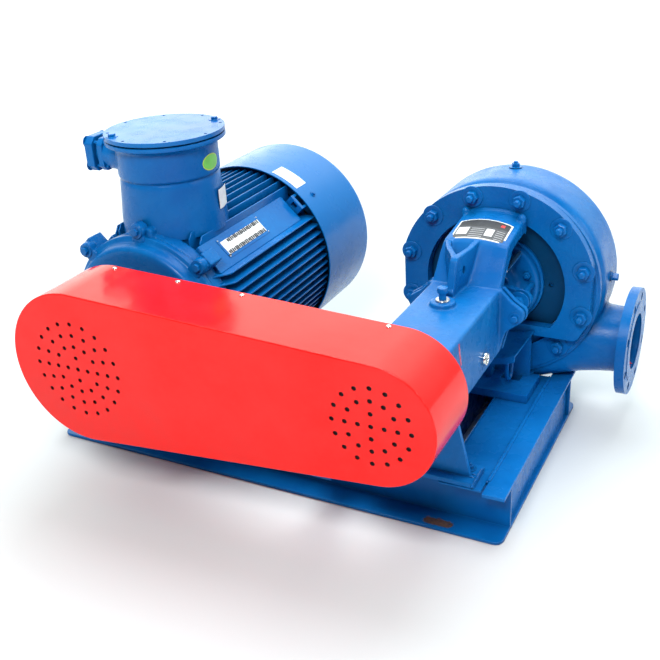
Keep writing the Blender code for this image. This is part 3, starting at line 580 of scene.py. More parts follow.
# Painted shade: a darker copy of the blue for the stuffing box disc and the ring inside the cowl, which lie
# in shade
PAINTED_SHADE_BLUE = paint("shaded_blue", (0.002, 0.052, 0.145), (0.001, 0.036, 0.1), rough=0.35, shine=0.1, grain=0.3)
GUARD = paint("guard_red", RED, RED_DEEP, rough=0.15, shine=0.22, peel=0.03, waves=0.05, crevice_shade=0.3)
STEEL = metal("machined_steel", (0.62, 0.62, 0.63), 0.26)
BRIGHT = metal("bright_steel", (0.8, 0.79, 0.76), 0.16)
SHEAVE = metal("sheave_steel", (0.42, 0.43, 0.45), 0.34, (0.3, 6.0, 0.3))
RUBBER = matt("belt_rubber", (0.014, 0.014, 0.015), 0.65, 60.0)
BLACK = matt("black_plastic", (0.016, 0.016, 0.018), 0.42, 30.0)
WHITE_LABEL = printed("white_label", (0.8, 0.81, 0.82))
GREEN_LABEL = printed("green_label", (0.16, 0.55, 0.08))
YELLOW_LABEL = printed("yellow_label", (0.5, 0.65, 0.08))
INK = printed("label_ink", (0.02, 0.02, 0.025))
RED_INK = printed("label_red", (0.7, 0.03, 0.03))
RED_MARK = printed("red_mark", (0.85, 0.05, 0.04), 0.3)
LABEL_GREY = printed("label_grey", (0.055, 0.055, 0.065))
LABEL_LINE = printed("label_line", (0.42, 0.42, 0.44))


# Guard


def guard_outline(inset):
    left, right = MOTOR, GUARD_RIGHT
    run, rise = right[0] - left[0], right[1] - left[1]
    tilt = math.atan2(rise, run)
    lean = math.acos((GUARD_RADII[0] - GUARD_RADII[1]) / math.hypot(run, rise))
    return (arc(left, GUARD_RADII[0] - inset, tilt + lean, tilt + 2 * math.pi - lean, 72)
            + arc(right, GUARD_RADII[1] - inset, tilt - lean, tilt + lean, 60))


def guard_vents():
    holes = []
    for centre, rings in ((MOTOR, MOTOR_VENT_RINGS), (VENTS_RIGHT, PUMP_VENT_RINGS)):
        for ring, count in enumerate(rings):
            for n in range(count):
                spot = around(centre, ring * VENT_PITCH, 2 * math.pi * n / count)
                holes.append(circle(spot, VENT_RADIUS, 16))
    return holes


def guard():
    fold = 0.003
    outer = [(fold * (1 - math.sin(turn)),
              fold * (1 - math.cos(turn))) for turn in (math.pi / 2 * n / 5 for n in range(6))]
    stations = [(GUARD_WALL, GUARD_DEPTH), (0.0008, GUARD_DEPTH), (0.0, GUARD_DEPTH - 0.0008)]
    stations += [(inset, y) for inset, y in reversed(outer)]
    stations += [(fold, GUARD_WALL), (GUARD_WALL, fold)]
    rim = loft([[(x, y, z) for x, z in guard_outline(inset)] for inset, y in stations], capped=False)
    front = plate(guard_outline(fold), guard_vents(), "y", 0.0, 0.0015)
    # Painted shade: a black sheet just behind the front, so the vent holes look dark
    vent_shade_sheet = plate(guard_outline(0.012), [], "y", 0.006, 0.0065)
    piece("guard_vent_shade", vent_shade_sheet, BLACK)
    piece("belt_guard", joined([rim, front]), GUARD, ("guard_cover",), sharp=28)

    edge = guard_outline(0.0)
    screws = []
    for x in (0.014, 0.192, 0.362, 0.713):
        for upper in (True, False):
            spot = min((p for p in edge_spots(edge) if (p[1] > MOTOR_Z) == upper),
                       key=lambda p: abs(p[0] - x))
            screws.append(((spot[0], 0.165, spot[1]), (spot[2], 0.0, spot[3])))
    head = spun([(0.0, -0.002), (0.0062, -0.002), (0.0062, 0.001), (0.0054, 0.0026), (0.0032, 0.0038),
                 (0.0, 0.0042)], "z", (0, 0), 24)
    piece("guard_screws", copies(head, screws), BRIGHT)


def edge_spots(outline):
    """Closely spaced points along the outline, with the outward direction at each."""
    spots = []
    for start, end in zip(outline, outline[1:] + outline[:1]):
        length = math.dist(start, end)
        out = ((end[1] - start[1]) / length, (start[0] - end[0]) / length)
        for n in range(max(1, round(length / 0.002))):
            share = n * 0.002 / length
            spots.append((start[0] + share * (end[0] - start[0]), start[1] + share * (end[1] - start[1]),
                          *out))
    return spots


# Motor


def fin(quarter, offset, start, end, front):
    """Tapered fin; front gives how far back its outer edge reaches full height, and from what radius."""
    depth, radius = front
    root = math.sqrt(CORE_RADIUS ** 2 - offset ** 2) - 0.006
    sections = []
    steps = 8
    places = [start + depth * n / steps for n in range(steps)] + [start + depth, end - 0.006, end]
    for y in places:
        reach = radius + (FIN_RADIUS - radius) * ease((y - start) / depth)
        if y == end:
            reach -= 0.004
        tip = math.sqrt(reach ** 2 - offset ** 2)
        sections.append([turned(along, offset + side, quarter, y) for along, side in ((root, -0.0036),
                                                                                      (tip, -0.0021),
                                                                                      (tip, 0.0021),
                                                                                      (root, 0.0036))])
    return loft(sections)


def turned(along, across, quarter, y):
    turn = quarter * math.pi / 2
    return (along * math.cos(turn) - across * math.sin(turn), y,
            MOTOR_Z + along * math.sin(turn) + across * math.cos(turn))


def motor_body():
    shapes = [hollow(0.04, CORE_RADIUS, FRAME_START, FRAME_END, "y", MOTOR, 128)]
    for n in range(-7, 7):
        for quarter, side in ((0, 1), (2, -1)):
            shapes.append(fin(quarter, side * n * FIN_PITCH, FRAME_START + 0.002, FRAME_END,
                              (0.052, 0.2225)))
    for n in range(-6, 7):
        start = {5: 0.338, 6: 0.35}.get(abs(n), 0.5)
        shapes.append(fin(1, n * FIN_PITCH, start, FRAME_END, (0.014, 0.236)))
        if abs(n) < 6:
            shapes.append(fin(3, n * FIN_PITCH, FRAME_START + 0.02, FRAME_END, (0.014, 0.236)))
    piece("motor_fins", joined(shapes), SHEET, ("motor_frame",), bevel=0.0012, sharp=40)


def rounded_block(xs, ys, zs, radius):
    """Block whose four edges along y are round."""
    outline = []
    for x, z, start in ((xs[1] - radius, zs[1] - radius, 0.0), (xs[0] + radius, zs[1] - radius, 0.5),
                        (xs[0] + radius, zs[0] + radius, 1.0), (xs[1] - radius, zs[0] + radius, 1.5)):
        outline += arc((x, z), radius, start * math.pi, (start + 0.5) * math.pi, 5)
    return prism(outline, "y", *ys)


def motor_pads():
    """Flat pads at 45 degrees, with the cast ears in front and the lugs that hold the cowl behind."""
    shapes = []
    for turn in (-math.pi / 4, math.pi / 4):
        shapes.append(on_motor(block((-0.044, 0.044), (0.336, 0.748), (0.15, PAD_REACH)), turn))
    piece("motor_pads", joined(shapes), SHEET, bevel=0.003, segments=3)
    ears = []
    for turn in (-math.pi / 4, math.pi / 4):
        ears.append(on_motor(rounded_block((-0.019, 0.019), (0.2935, 0.34), (0.19, 0.262), 0.004), turn))
        ears.append(on_motor(rounded_block((-0.016, 0.016), (0.287, 0.296), (0.19, 0.257), 0.004), turn))
    piece("motor_ears", joined(ears), CAST, bevel=0.0016, segments=3)
    lugs = []
    for n in range(4):
        lug = plate([(-0.024, 0.205), (0.024, 0.205), (0.024, 0.2525), (-0.024, 0.2525)],
                    [[(-0.008, 0.232), (0.008, 0.232), (0.008, 0.246), (-0.008, 0.246)]], "y", 0.752, 0.764)
        lugs.append(on_motor(lug, math.pi / 4 + n * math.pi / 2))
        for side in (-1, 1):
            lugs.append(on_motor(block(sorted((side * 0.016, side * 0.024)), (0.758, 0.789), (0.2, 0.252)),
                                 math.pi / 4 + n * math.pi / 2))
    piece("cowl_lugs", joined(lugs), SHEET, bevel=0.0012)


def motor_saddle():
    """Casting that carries the terminal box and runs down to the front collar."""
    shapes = [
        solid([(0.129, 0.52), (0.129, 0.63), (0.131, 0.64)], "z", BOX),
        hollow(0.06, COLLAR_RADIUS - 0.001, 0.299, 0.338,
             "y", MOTOR),
        loft([[(-0.08, 0.3, 0.56), (0.072, 0.3, 0.56), (0.045, 0.3, 0.615), (-0.055, 0.3, 0.615)],
              [(-0.105, 0.4, 0.56), (0.088, 0.4, 0.56), (0.062, 0.4, 0.628), (-0.08, 0.4, 0.628)]]),
        on_motor(rounded_block((-0.034, 0.034), (0.29, 0.33), (0.2, 0.245), 0.01), 0.0),
    ]
    cast("motor_saddle", shapes, 0.003, 10, CAST)


def shields():
    profile = [(0.034, 0.262), (0.07, 0.258), (0.074, 0.256), (0.078, 0.262), (0.086, 0.2655),
               (0.11, 0.2615), (0.14, 0.2565), (0.165, 0.2515), (0.185, 0.248), (0.196, 0.2478),
               (0.202, 0.25), (0.206, 0.2545), (0.2085, 0.261), (0.21, 0.27), (0.212, 0.2765),
               (0.216, 0.28), (0.2225, 0.2815), (0.2245, 0.2835), (0.225, 0.2865), (0.225, 0.295),
               (0.223, 0.2985), (0.034, 0.3015)]
    dome = spun(profile, "y", MOTOR, 144)
    piece("motor_front_shield", dome, CAST, ("motor_end_shield_front",), sharp=50)
    bosses, heads = [], []
    for n in range(8):
        spot = around(MOTOR, BOSS_CIRCLE, n * math.pi / 4)
        bosses.append(solid([(0.015, 0.2745), (0.019, 0.2765), (0.02, 0.281), (0.0205, 0.301)], "y", spot,
                            40))
        heads.append(((spot[0], 0.2748, spot[1]), FORWARD))
        inner = around(MOTOR, 0.218, n * math.pi / 4)
        bosses.append(solid([(0.017, 0.2765), (0.0195, 0.28), (0.02, 0.3005)], "y", inner, 40))
    cast("shield_bosses", bosses, 0.0022, 6, CAST)
    piece("shield_bolts", copies(hex_head(0.019, 0.0085, 0.0022), heads), SHEET,
          bevel=0.0008)
    rear = [(0.034, 0.7905), (0.215, 0.7905), (0.215, 0.806), (0.212, 0.811), (0.18, 0.82), (0.12, 0.824),
            (0.034, 0.8241)]
    piece("motor_rear_shield", spun(rear, "y", MOTOR, 96), CAST, ("motor_end_shield_rear",),
          sharp=50)


def cowl():
    wall = 0.003
    inner = COWL_RADIUS - wall
    curve = [(COWL_RADIUS - 0.024 + 0.024 * math.cos(turn),
              COWL_END - 0.024 + 0.024 * math.sin(turn)) for turn in (math.pi / 2 * n / 8
                                                                      for n in range(9))]
    profile = [(inner, COWL_START), (COWL_RADIUS - 0.0005, COWL_START),
               (COWL_RADIUS, COWL_START + 0.0006)] + curve
    grille_edge = 0.214
    profile += [(grille_edge, COWL_END), (grille_edge, COWL_END - wall)]
    profile += [(r - wall if r > COWL_RADIUS - 0.02 else r, y - wall) for r, y in reversed(curve)]
    piece("fan_cowl", spun(profile, "y", MOTOR, 160), SMOOTH, ("motor_fan_cowl",), sharp=40)
    holes = []
    for radius, count in ((0.045, 3), (0.075, 4), (0.105, 6), (0.135, 8), (0.165, 8), (0.195, 10)):
        for n in range(count):
            middle = 2 * math.pi * n / count
            half = math.pi / count - 0.012 / radius
            holes.append(arc(MOTOR, radius + 0.0095, middle - half, middle + half, 10)
                         + arc(MOTOR, radius - 0.0095, middle + half, middle - half, 10))
    grille = plate(circle(MOTOR, grille_edge, 160), holes, "y", COWL_END - wall, COWL_END)
    piece("cowl_grille", grille, SMOOTH, sharp=30)
    screw = solid([(0.0085, 0.0), (0.0085, 0.0016), (0.005, 0.002), (0.0048, 0.0062), (0.0036, 0.0072)],
                  "z", (0, 0), 24)
    spots = []
    for degrees in (43.5, 133.5, 223.5, 313.5):
        turn = math.radians(degrees)
        spots.append(((COWL_RADIUS * math.cos(turn), 0.83, MOTOR_Z + COWL_RADIUS * math.sin(turn)),
                      (math.cos(turn), 0.0, math.sin(turn))))
    piece("cowl_screws", copies(screw, spots), SHEET)
    piece("cowl_label", wrapped(MOTOR, "y", COWL_RADIUS + 0.0002, (math.radians(52), math.radians(71)),
                                (0.79, 0.845)), WHITE_LABEL)


def cowl_shade_ring():
    """Ring inside the cowl, behind the fins: a sheet of painted shade in the darker blue."""
    ring = hollow(0.208, 0.2565, 0.826, 0.829, "y", MOTOR, 96)
    piece("cowl_painted_shade_ring", ring, PAINTED_SHADE_BLUE, sharp=40)


def wrapped(centre, axis, radius, turns, along, inset=None):
    """Thin patch lying on a cylinder; inset(share) narrows it across for round labels."""
    steps = 24
    thick = 0.0004
    sections = []
    for n in range(steps + 1):
        share = n / steps
        turn = turns[0] + share * (turns[1] - turns[0])
        cut = inset(share) if inset else 0.0
        middle, half = (along[0] + along[1]) / 2, (along[1] - along[0]) / 2 * (1 - cut)
        section = []
        for place, reach in ((middle - half, radius), (middle + half, radius),
                             (middle + half, radius + thick), (middle - half, radius + thick)):
            spot = list(around(centre, reach, turn))
            spot.insert("xyz".index(axis), place)
            section.append(spot)
        sections.append(section)
    return loft(sections)


def oval(share):
    return 1.0 - math.sqrt(max(0.0, 1.0 - (2 * share - 1) ** 2)) * 0.999


def nameplate():
    top = PAD_REACH + 0.0003
    ys, xs = (0.4015, 0.597), (-0.033, 0.024)
    frame_plate = on_motor(block(xs, ys, (top, top + 0.001)), math.pi / 4)
    piece("motor_plate", frame_plate, SHEET, ("motor_nameplate",), bevel=0.0003)
    field = on_motor(block((-0.0235, 0.0158), (0.409, 0.59), (top + 0.0008, top + 0.0014)), math.pi / 4)
    piece("motor_plate_field", field, WHITE_LABEL)
    ticks = []
    for row, first, last in ((-0.018, 0.436, 0.588), (0.0105, 0.412, 0.588)):
        count = round((last - first) / 0.0076)
        for n in range(count):
            y = first + (last - first) * n / count
            long = 0.0055 if n % 3 else 0.0042
            ticks.append(on_motor(block((row - long, row + long), (y, y + (0.0054 if n % 4 else 0.0064)),
                                        (top + 0.0012, top + 0.0018)), math.pi / 4))
    ticks.append(on_motor(block((0.015, 0.019), (0.402, 0.413), (top + 0.0008, top + 0.0018)), math.pi / 4))
    piece("motor_plate_marks", joined(ticks), INK)
    rivet = spun([(0.0, 0.0), (0.0021, 0.0), (0.0016, 0.0012), (0.0, 0.0016)], "z", (0, 0), 16)
    spots = []
    turn = math.pi / 4
    for across in (xs[0] + 0.004, xs[1] - 0.004):
        for y in (ys[0] + 0.004, ys[1] - 0.004):
            up = top + 0.001
            spots.append(((across * math.cos(turn) + up * math.sin(turn), y,
                           MOTOR_Z - across * math.sin(turn) + up * math.cos(turn)), (math.sin(turn), 0.0,
                                                                                      math.cos(turn))))
    piece("motor_plate_rivets", copies(rivet, spots), STEEL)


# Terminal box


def terminal_box():
    flange_top = LID_TOP - 0.0103
    profile = [(0.0, 0.6), (0.1345, 0.6), (0.1325, 0.64), (0.129, 0.68), (0.1268, 0.705), (0.1258, 0.722),
               (0.125, 0.73), (0.1228, 0.735), (0.1218, 0.7375), (0.1222, 0.7395), (0.1262, 0.742),
               (BOX_RADIUS, 0.747), (BOX_RADIUS, 0.806), (0.1285, 0.812), (0.132, 0.8165), (0.138, 0.8205),
               (0.147, 0.8225), (LID_RADIUS, 0.824), (LID_RADIUS, 0.832), (0.148, 0.8332), (0.139, 0.8335),
               (0.139, flange_top), (0.0, flange_top)]
    body = spun(profile, "z", BOX, 144)
    piece("terminal_box_barrel", body, CAST, ("terminal_box_body",), sharp=55)
    low = LID_TOP - 0.01
    lid = plate(circle(BOX, LID_RADIUS, 144), [circle(around(BOX, LID_SCREWS, math.radians(45 * k - 9)),
                                                      0.0042, 16) for k in range(8)], "z", low, LID_TOP)
    piece("terminal_box_cap", lid, SHEET, ("terminal_box_lid",), bevel=0.001, sharp=50)
    sockets = [solid([(0.004, low + 0.001), (0.004, LID_TOP - 0.0022), (0.0026, LID_TOP - 0.0022),
                      (0.0022, LID_TOP - 0.0045)], "z", around(BOX, LID_SCREWS, math.radians(45 * k - 9)),
                     20) for k in range(8)]
    piece("lid_socket_screws", joined(sockets), BLACK)
    heads = [((*around(BOX, 0.132, math.radians(degrees)), LID_TOP), UPWARD) for degrees in (54, 234)]
    piece("lid_bolts", copies(hex_head(0.016, 0.0062, 0.0012), heads), SHEET, bevel=0.0006)


def gland():
    tube_shape = spun([(0.0, -0.185), (0.042, -0.185), (0.043, -0.16), (0.047, -0.128), (0.058, -0.112),
                       (0.0, -0.1)], "x", GLAND, 72)
    cast("gland_socket", [tube_shape], 0.003, 3, CAST)
    plates = []
    for near, far, half, corner in ((-0.19, -0.173, 0.042, 0.014), (-0.227, -0.202, 0.045, 0.016)):
        outline = []
        for sy, sz in ((1, 1), (-1, 1), (-1, -1), (1, -1)):
            first, second = (half, half - corner), (half - corner, half)
            if sy * sz < 0:
                first, second = second, first
            outline += [(GLAND[0] + sy * first[0], GLAND[1] + sz * first[1]), (GLAND[0] + sy * second[0],
                                                                               GLAND[1] + sz * second[1])]
        plates.append(prism(outline, "x", near, far))
    plates.append(solid([(0.032, -0.204), (0.032, -0.186)], "x", GLAND, 48))
    entry = [(0.0215, -0.214), (0.0215, -0.235), (0.029, -0.235), (0.033, -0.2315), (0.033, -0.224),
             (0.029, -0.214)]
    plates.append(spun(entry, "x", GLAND, 48))
    piece("gland_clamp", joined(plates), CAST, ("cable_gland",), bevel=0.0035, segments=3)
    spots = []
    for sy, sz in ((1, 1), (-1, 1), (-1, -1), (1, -1)):
        spots.append(((-0.227, GLAND[0] + sy * 0.03, GLAND[1] + sz * 0.03), (-1.0, 0.0, 0.0)))
    shank = solid([(0.0045, -0.06), (0.0045, 0.002)], "z", (0, 0), 16)
    piece("gland_bolts", copies(joined([hex_head(0.016, 0.006, 0.0016), shank]), spots), SHEET,
          bevel=0.0006)


def box_labels():
    turns = (math.radians(-14), math.radians(15))
    for name, lower, upper, finish, grow in (("box_oval_rim", 0.752, 0.792, YELLOW_LABEL, 0.0),
                                             ("box_oval", 0.7545, 0.7895, GREEN_LABEL, 0.015)):
        span = (turns[0] + grow, turns[1] - grow)
        piece(name, wrapped(BOX, "z", BOX_RADIUS + 0.0002 + grow * 0.02, span, (lower, upper), oval),
              finish)
    piece("box_label", wrapped(BOX, "z", 0.1335, (math.radians(4), math.radians(28)), (0.648, 0.698)),
          WHITE_LABEL)


# Pump


def ring_outline():
    half_flat = math.acos(RING_FLAT / RING_RADIUS)
    points = arc(PUMP, RING_RADIUS, half_flat, math.pi - half_flat, 96)
    low, corner = PUMP_Z - RING_BOTTOM, 0.03
    for side in (-1, 1):
        x = PUMP_X + side * RING_FLAT
        run = [(x, PUMP_Z - 0.072), (x - side * 0.003, PUMP_Z - 0.08), (x - side * (corner - 0.004),
                                                                        low + 0.008),
               (x - side * (corner + 0.008), low)]
        points += run if side < 0 else reversed(run)
    return points


def opening_outline():
    sill = math.asin(OPENING_SILL / OPENING_RADIUS)
    return arc(PUMP, OPENING_RADIUS, -sill, math.pi + sill, 96)


def cover_ring():
    ring = plate(ring_outline(), [opening_outline()], "y", RING_FACE, RING_FACE + RING_THICK)
    piece("ring_cover", ring, CAST, ("cover_ring",), bevel=0.0022, sharp=50, segments=3)
    spots = []
    for k in range(12):
        turn = math.radians(15 + 30 * k)
        spot = around(PUMP, STUD_CIRCLE, turn)
        if spot[1] > PUMP_Z - RING_BOTTOM + 0.01:
            spots.append(((spot[0], RING_FACE, spot[1]), FORWARD))
        elif abs(spot[0] - PUMP_X) > 0.1:
            spots.append(((spot[0], CASING_START + 0.0005, spot[1]), FORWARD))
    nut = hex_head(0.0295, 0.015, 0.0032, 0.0125)
    piece("ring_nuts", copies(nut, spots), SHEET, bevel=0.0013)


def stuffing_box():
    face = CASING_START + 0.008
    disc = plate(circle(PUMP, 0.1828, 144), [circle(PUMP, 0.026, 48), circle((PUMP_X + 0.141, PUMP_Z),
                                                                             0.0068, 24)], "y", face,
                 face + 0.018)
    # The disc takes the darker blue of painted shade for the shadowed recess
    piece("stuffing_box", disc, PAINTED_SHADE_BLUE, ("stuffing_box_cover",), bevel=0.0008, sharp=50)
    hub = [(0.026, 0.744), (0.05, 0.744), (0.053, 0.7475), (0.056, 0.77), (0.062, 0.779), (0.07, 0.7815),
           (0.106, 0.7815), (0.111, 0.7825), (0.1145, 0.7855), (0.116, 0.79), (0.1165, 0.799),
           (0.1225, 0.7995), (0.1235, 0.801), (0.124, face + 0.002), (0.026, face + 0.002)]
    piece("stuffing_box_hub", spun(hub, "y", PUMP, 144), CAST, sharp=42)
    head = hex_head(0.019, 0.009, 0.0, 0.005)
    spots = []
    for degrees in (20, 62, 118, 160, 200, 240, 300, 340):
        x, z = around(PUMP, 0.09, math.radians(degrees))
        spots.append(((x, 0.7812, z), FORWARD))
    piece("stuffing_box_bolts", copies(head, spots), SHEET, bevel=0.0009)


def eared(reach, radius, half_width, half_height, soft=0.01):
    """Rounded square with an ear at each side."""
    points = []
    for side in (1, -1):
        middle = (PUMP_X + side * reach, PUMP_Z)
        start = -math.pi / 3 if side > 0 else 2 * math.pi / 3
        points += arc(middle, radius, start, start + 2 * math.pi / 3, 14)
        for sx, sz in (((1, 1), (-1, 1)) if side > 0 else ((-1, -1), (1, -1))):
            corner = (PUMP_X + sx * (half_width - soft), PUMP_Z + sz * (half_height - soft))
            quadrant = {(1, 1): 0.0, (-1, 1): 0.5, (-1, -1): 1.0, (1, -1): 1.5}[(sx, sz)] * math.pi
            points += arc(corner, soft, quadrant, quadrant + math.pi / 2, 6)
    return points


def gland_parts():
    follower = plate(eared(0.098, 0.026, 0.046, 0.047), [circle(PUMP, 0.0255, 48)], "y", 0.684, 0.702)
    sleeve = hollow(0.0255, 0.037, 0.692, 0.744, "y", PUMP, 64)
    piece("gland_plate", joined([follower, sleeve]), CAST, ("gland_follower",),
          bevel=0.0022, segments=3)
    nuts, rods = [], []
    for side in (-1, 1):
        x, z = PUMP_X + side * 0.098, PUMP_Z + 0.008
        nuts.append(((x, 0.684, z), FORWARD))
        nuts.append(((x, 0.668, z), FORWARD))
        rods.append(solid([(0.0072, 0.642), (0.008, 0.644), (0.008, 0.784)], "y", (x, z), 24))
    piece("gland_nuts", copies(hex_head(0.027, 0.013, 0.0028), nuts), SHEET, bevel=0.0012)
    piece("gland_studs", joined(rods), SHEET, bevel=0.0004)
    for number, side in enumerate((-1, 1)):
        bare = solid([(0.0078, 0.66), (0.0088, 0.662), (0.0088, 0.784)], "y",
                     (PUMP_X + side * 0.06, PUMP_Z + 0.086), 24)
        piece(f"gland_stud_{number}", bare, BRIGHT, bevel=0.0004)


def ear_flange(start, end, grow=0.0):
    """Flange at the housing's rear whose two bolt ears stand out at the sides, a little above the shaft."""
    right = [(0.06, 0.085), (0.0875, 0.085), (0.115, 0.057), (0.1406, 0.04), (0.1445, 0.032),
             (0.145, 0.022), (0.142, 0.012), (0.136, 0.006), (0.105, -0.018), (0.098, -0.03),
             (0.095, -0.043), (0.087, -0.077), (0.06, -0.08)]
    half = [(x + grow * (x > 0.061), z) for x, z in right]
    outline = [(PUMP_X + x, PUMP_Z + z) for x, z in half] + [(PUMP_X - x, PUMP_Z + z) for x,
                                                             z in reversed(half)]
    return prism(outline, "y", start, end)


def web(path, half):
    """Upright plate that follows a path of (x, y, lower z, upper z)."""
    sections = []
    for n, (x, y, low, high) in enumerate(path):
        before, after = path[max(n - 1, 0)], path[min(n + 1, len(path) - 1)]
        ahead = Vector((after[0] - before[0], after[1] - before[1], 0.0)).normalized()
        side = Vector((ahead.y, -ahead.x, 0.0)) * half
        spot = Vector((x, y, 0.0))
        sections.append([(*(spot + side).xy, low), (*(spot + side).xy, high), (*(spot - side).xy, high),
                         (*(spot - side).xy, low)])
    return loft(sections)


def bearing_bracket():
    half = HOUSING_HALF
    shapes = [rounded_block((PUMP_X - half, PUMP_X + half), (HOUSING_START, HOUSING_END - 0.002),
                            (HOUSING_LOW, HOUSING_TOP), 0.007)]
    sections = []
    for y, top, low, wide, rise in ((0.536, 0.4865, 0.44, 0.0845, 0.001),
                                    (0.549, 0.488, 0.452, 0.0845, 0.002),
                                    (0.574, 0.517, 0.474, 0.084, 0.003), (0.6, 0.549, 0.508, 0.083, 0.005),
                                    (0.617, 0.569, 0.532, 0.082, 0.007),
                                    (0.626, 0.5765, 0.542, 0.081, 0.009), (0.66, 0.585, 0.556, 0.08, 0.011),
                                    (0.7, 0.592, 0.564, 0.0795, 0.012),
                                    (0.74, 0.5975, 0.568, 0.0795, 0.013), (0.76, 0.602, 0.566, 0.08, 0.014),
                                    (0.7737, 0.61, 0.562, 0.082, 0.016)):
        across = [wide * n / 10 for n in range(-10, 11)]
        sections.append([(PUMP_X + x, y, top - rise * (x / wide) ** 2) for x in across]
                        + [(PUMP_X + x, y - 0.001, low - rise * (x / wide) ** 2) for x in reversed(across)])
    shapes.append(loft(sections))
    for side in (-1, 1):
        wall = [(0.56, 0.47), (0.59, 0.512), (0.626, 0.566), (0.7, 0.576), (0.7737, 0.58), (0.7737, 0.553),
                (0.71, 0.551), (0.662, 0.543), (0.61, 0.494), (0.578, 0.455)]
        x = sorted((PUMP_X + side * (half - 0.005), PUMP_X + side * (half - 0.019)))
        shapes.append(prism(wall, "x", *x))
    root = HOUSING_TOP - 0.01
    stem = [(0.731, 0.469, root, 0.498), (0.731, 0.474, root, 0.506), (0.7308, 0.484, root, 0.536),
            (0.7305, 0.498, root, 0.567), (0.7305, 0.508, root, 0.573), (0.733, 0.518, root, 0.5745)]
    shapes.append(web(stem, 0.0095))
    shapes.append(web([(0.731, 0.505, root, 0.5725), (0.738, 0.54, root, 0.5745),
                       (0.743, 0.575, root, 0.5745), (0.746, 0.624, root, 0.5765)], 0.0075))
    shapes.append(web([(0.7305, 0.505, root, 0.572), (0.716, 0.535, root, 0.572), (0.7, 0.56, root, 0.571),
                       (0.684, 0.59, root, 0.57), (0.674, 0.62, root, 0.57)], 0.007))
    shapes.append(ear_flange(HOUSING_END - 0.011, HOUSING_END + 0.0045))
    foot = [(PUMP_X - half + 0.012, HOUSING_LOW + 0.01), (PUMP_X - half + 0.02, HOUSING_LOW - 0.0005),
            (PUMP_X + half - 0.02, HOUSING_LOW - 0.0005), (PUMP_X + half - 0.012, HOUSING_LOW + 0.01)]
    shapes.append(prism(foot, "y", 0.285, 0.345))
    boss = [(0.0, 0.47), (0.03, 0.47), (0.03, 0.495), (0.027, 0.4985), (0.0, 0.4985)]
    shapes.append(spun(boss, "z", OIL_FILLER, 40))
    for side, place in ((-1, 0.764), (1, 0.752)):
        lump = [(0.0, 0.606), (0.007, 0.604), (0.0105, 0.598), (0.0115, 0.586), (0.0, 0.582)]
        shapes.append(spun(lump, "z", (PUMP_X + side * 0.0745, place), 16))
    made = cast("bearing_housing", shapes, 0.0023, 6, CAST, ("bearing_bracket",))
    settle(made)
    bore = solid([(0.06, HOUSING_START - 0.02), (0.06, HOUSING_END + 0.02)], "y", PUMP, 64)
    eye = [(0.533 + 0.0065 * across, 0.534 + 0.0105 * up) for across, up in circle((0.0, 0.0), 1.0, 24)]
    trimmed(made, joined([bore, prism(eye, "x", 0.722, 0.775)]))
    made.data.set_sharp_from_angle(angle=math.radians(50))


def bearing_covers():
    start = HOUSING_START - 0.014
    shapes = [spun([(0.025, start + 0.002), (0.04, start), (0.066, start), (0.07, start + 0.003),
                    (0.07, HOUSING_START), (0.025, HOUSING_START)], "y", PUMP, 72)]
    heads = []
    for n in range(4):
        ear = around(PUMP, 0.072, math.pi / 4 + n * math.pi / 2)
        shapes.append(solid([(0.012, start + 0.001), (0.014, start + 0.003), (0.014, HOUSING_START)], "y",
                            ear, 32))
        heads.append(((ear[0], start + 0.001, ear[1]), FORWARD))
    cast("bearing_cap_front", shapes, 0.0018, 3, CAST, ("bearing_cover_front",))
    piece("front_cap_bolts", copies(hex_head(0.015, 0.007, 0.0), heads), SHEET, bevel=0.0007)
    boss = spun([(0.0265, HOUSING_END + 0.016), (0.052, HOUSING_END + 0.016), (0.05, HOUSING_END + 0.03),
                 (0.046, HOUSING_END + 0.034), (0.0265, HOUSING_END + 0.034)], "y", PUMP, 64)
    piece("bearing_cap_rear", joined([ear_flange(HOUSING_END + 0.0075, HOUSING_END + 0.02, 0.003), boss]),
          CAST, ("bearing_cover_rear",), bevel=0.0022, segments=3)
    heads = [((PUMP_X + side * 0.124, HOUSING_END - 0.011, PUMP_Z + 0.019), FORWARD) for side in (-1, 1)]
    piece("rear_cap_bolts", copies(hex_head(0.016, 0.008, 0.0014), heads), SHEET,
          bevel=0.0008)


def oil_fittings():
    low = HOUSING_TOP
    collar = [(0.0, low + 0.011), (0.017, low + 0.011), (0.017, low + 0.014), (0.015, low + 0.016),
              (0.0, low + 0.016)]
    stem = [(0.0, low + 0.014), (0.0095, low + 0.014), (0.0085, low + 0.024), (0.0085, low + 0.03),
            (0.012, low + 0.0315), (0.013, low + 0.038), (0.012, low + 0.044), (0.006, low + 0.0465),
            (0.0, low + 0.047)]
    piece("filler_collar", spun(collar, "z", OIL_FILLER, 32), STEEL, bevel=0.0006)
    piece("filler_cap", spun(stem, "z", OIL_FILLER, 32), SHEET, ("oil_filler",), sharp=45)
    side = PUMP_X + HOUSING_HALF
    sight = [(0.0, side - 0.003), (0.015, side - 0.003), (0.016, side + 0.003), (0.016, side + 0.0075),
             (0.014, side + 0.01), (0.0105, side + 0.01), (0.01, side + 0.0065), (0.0, side + 0.006)]
    piece("oil_gauge", spun(sight, "x", (0.433, 0.363), 40), BRIGHT, ("oil_sight",), sharp=40)
    slash = [(0.2655, 0.48), (0.27, 0.4785), (0.2745, 0.455), (0.2835, 0.424), (0.28, 0.4195),
             (0.272, 0.444), (0.2675, 0.462)]
    piece("red_dab", prism(slash, "x", side - 0.0006, side + 0.0005), RED_MARK)


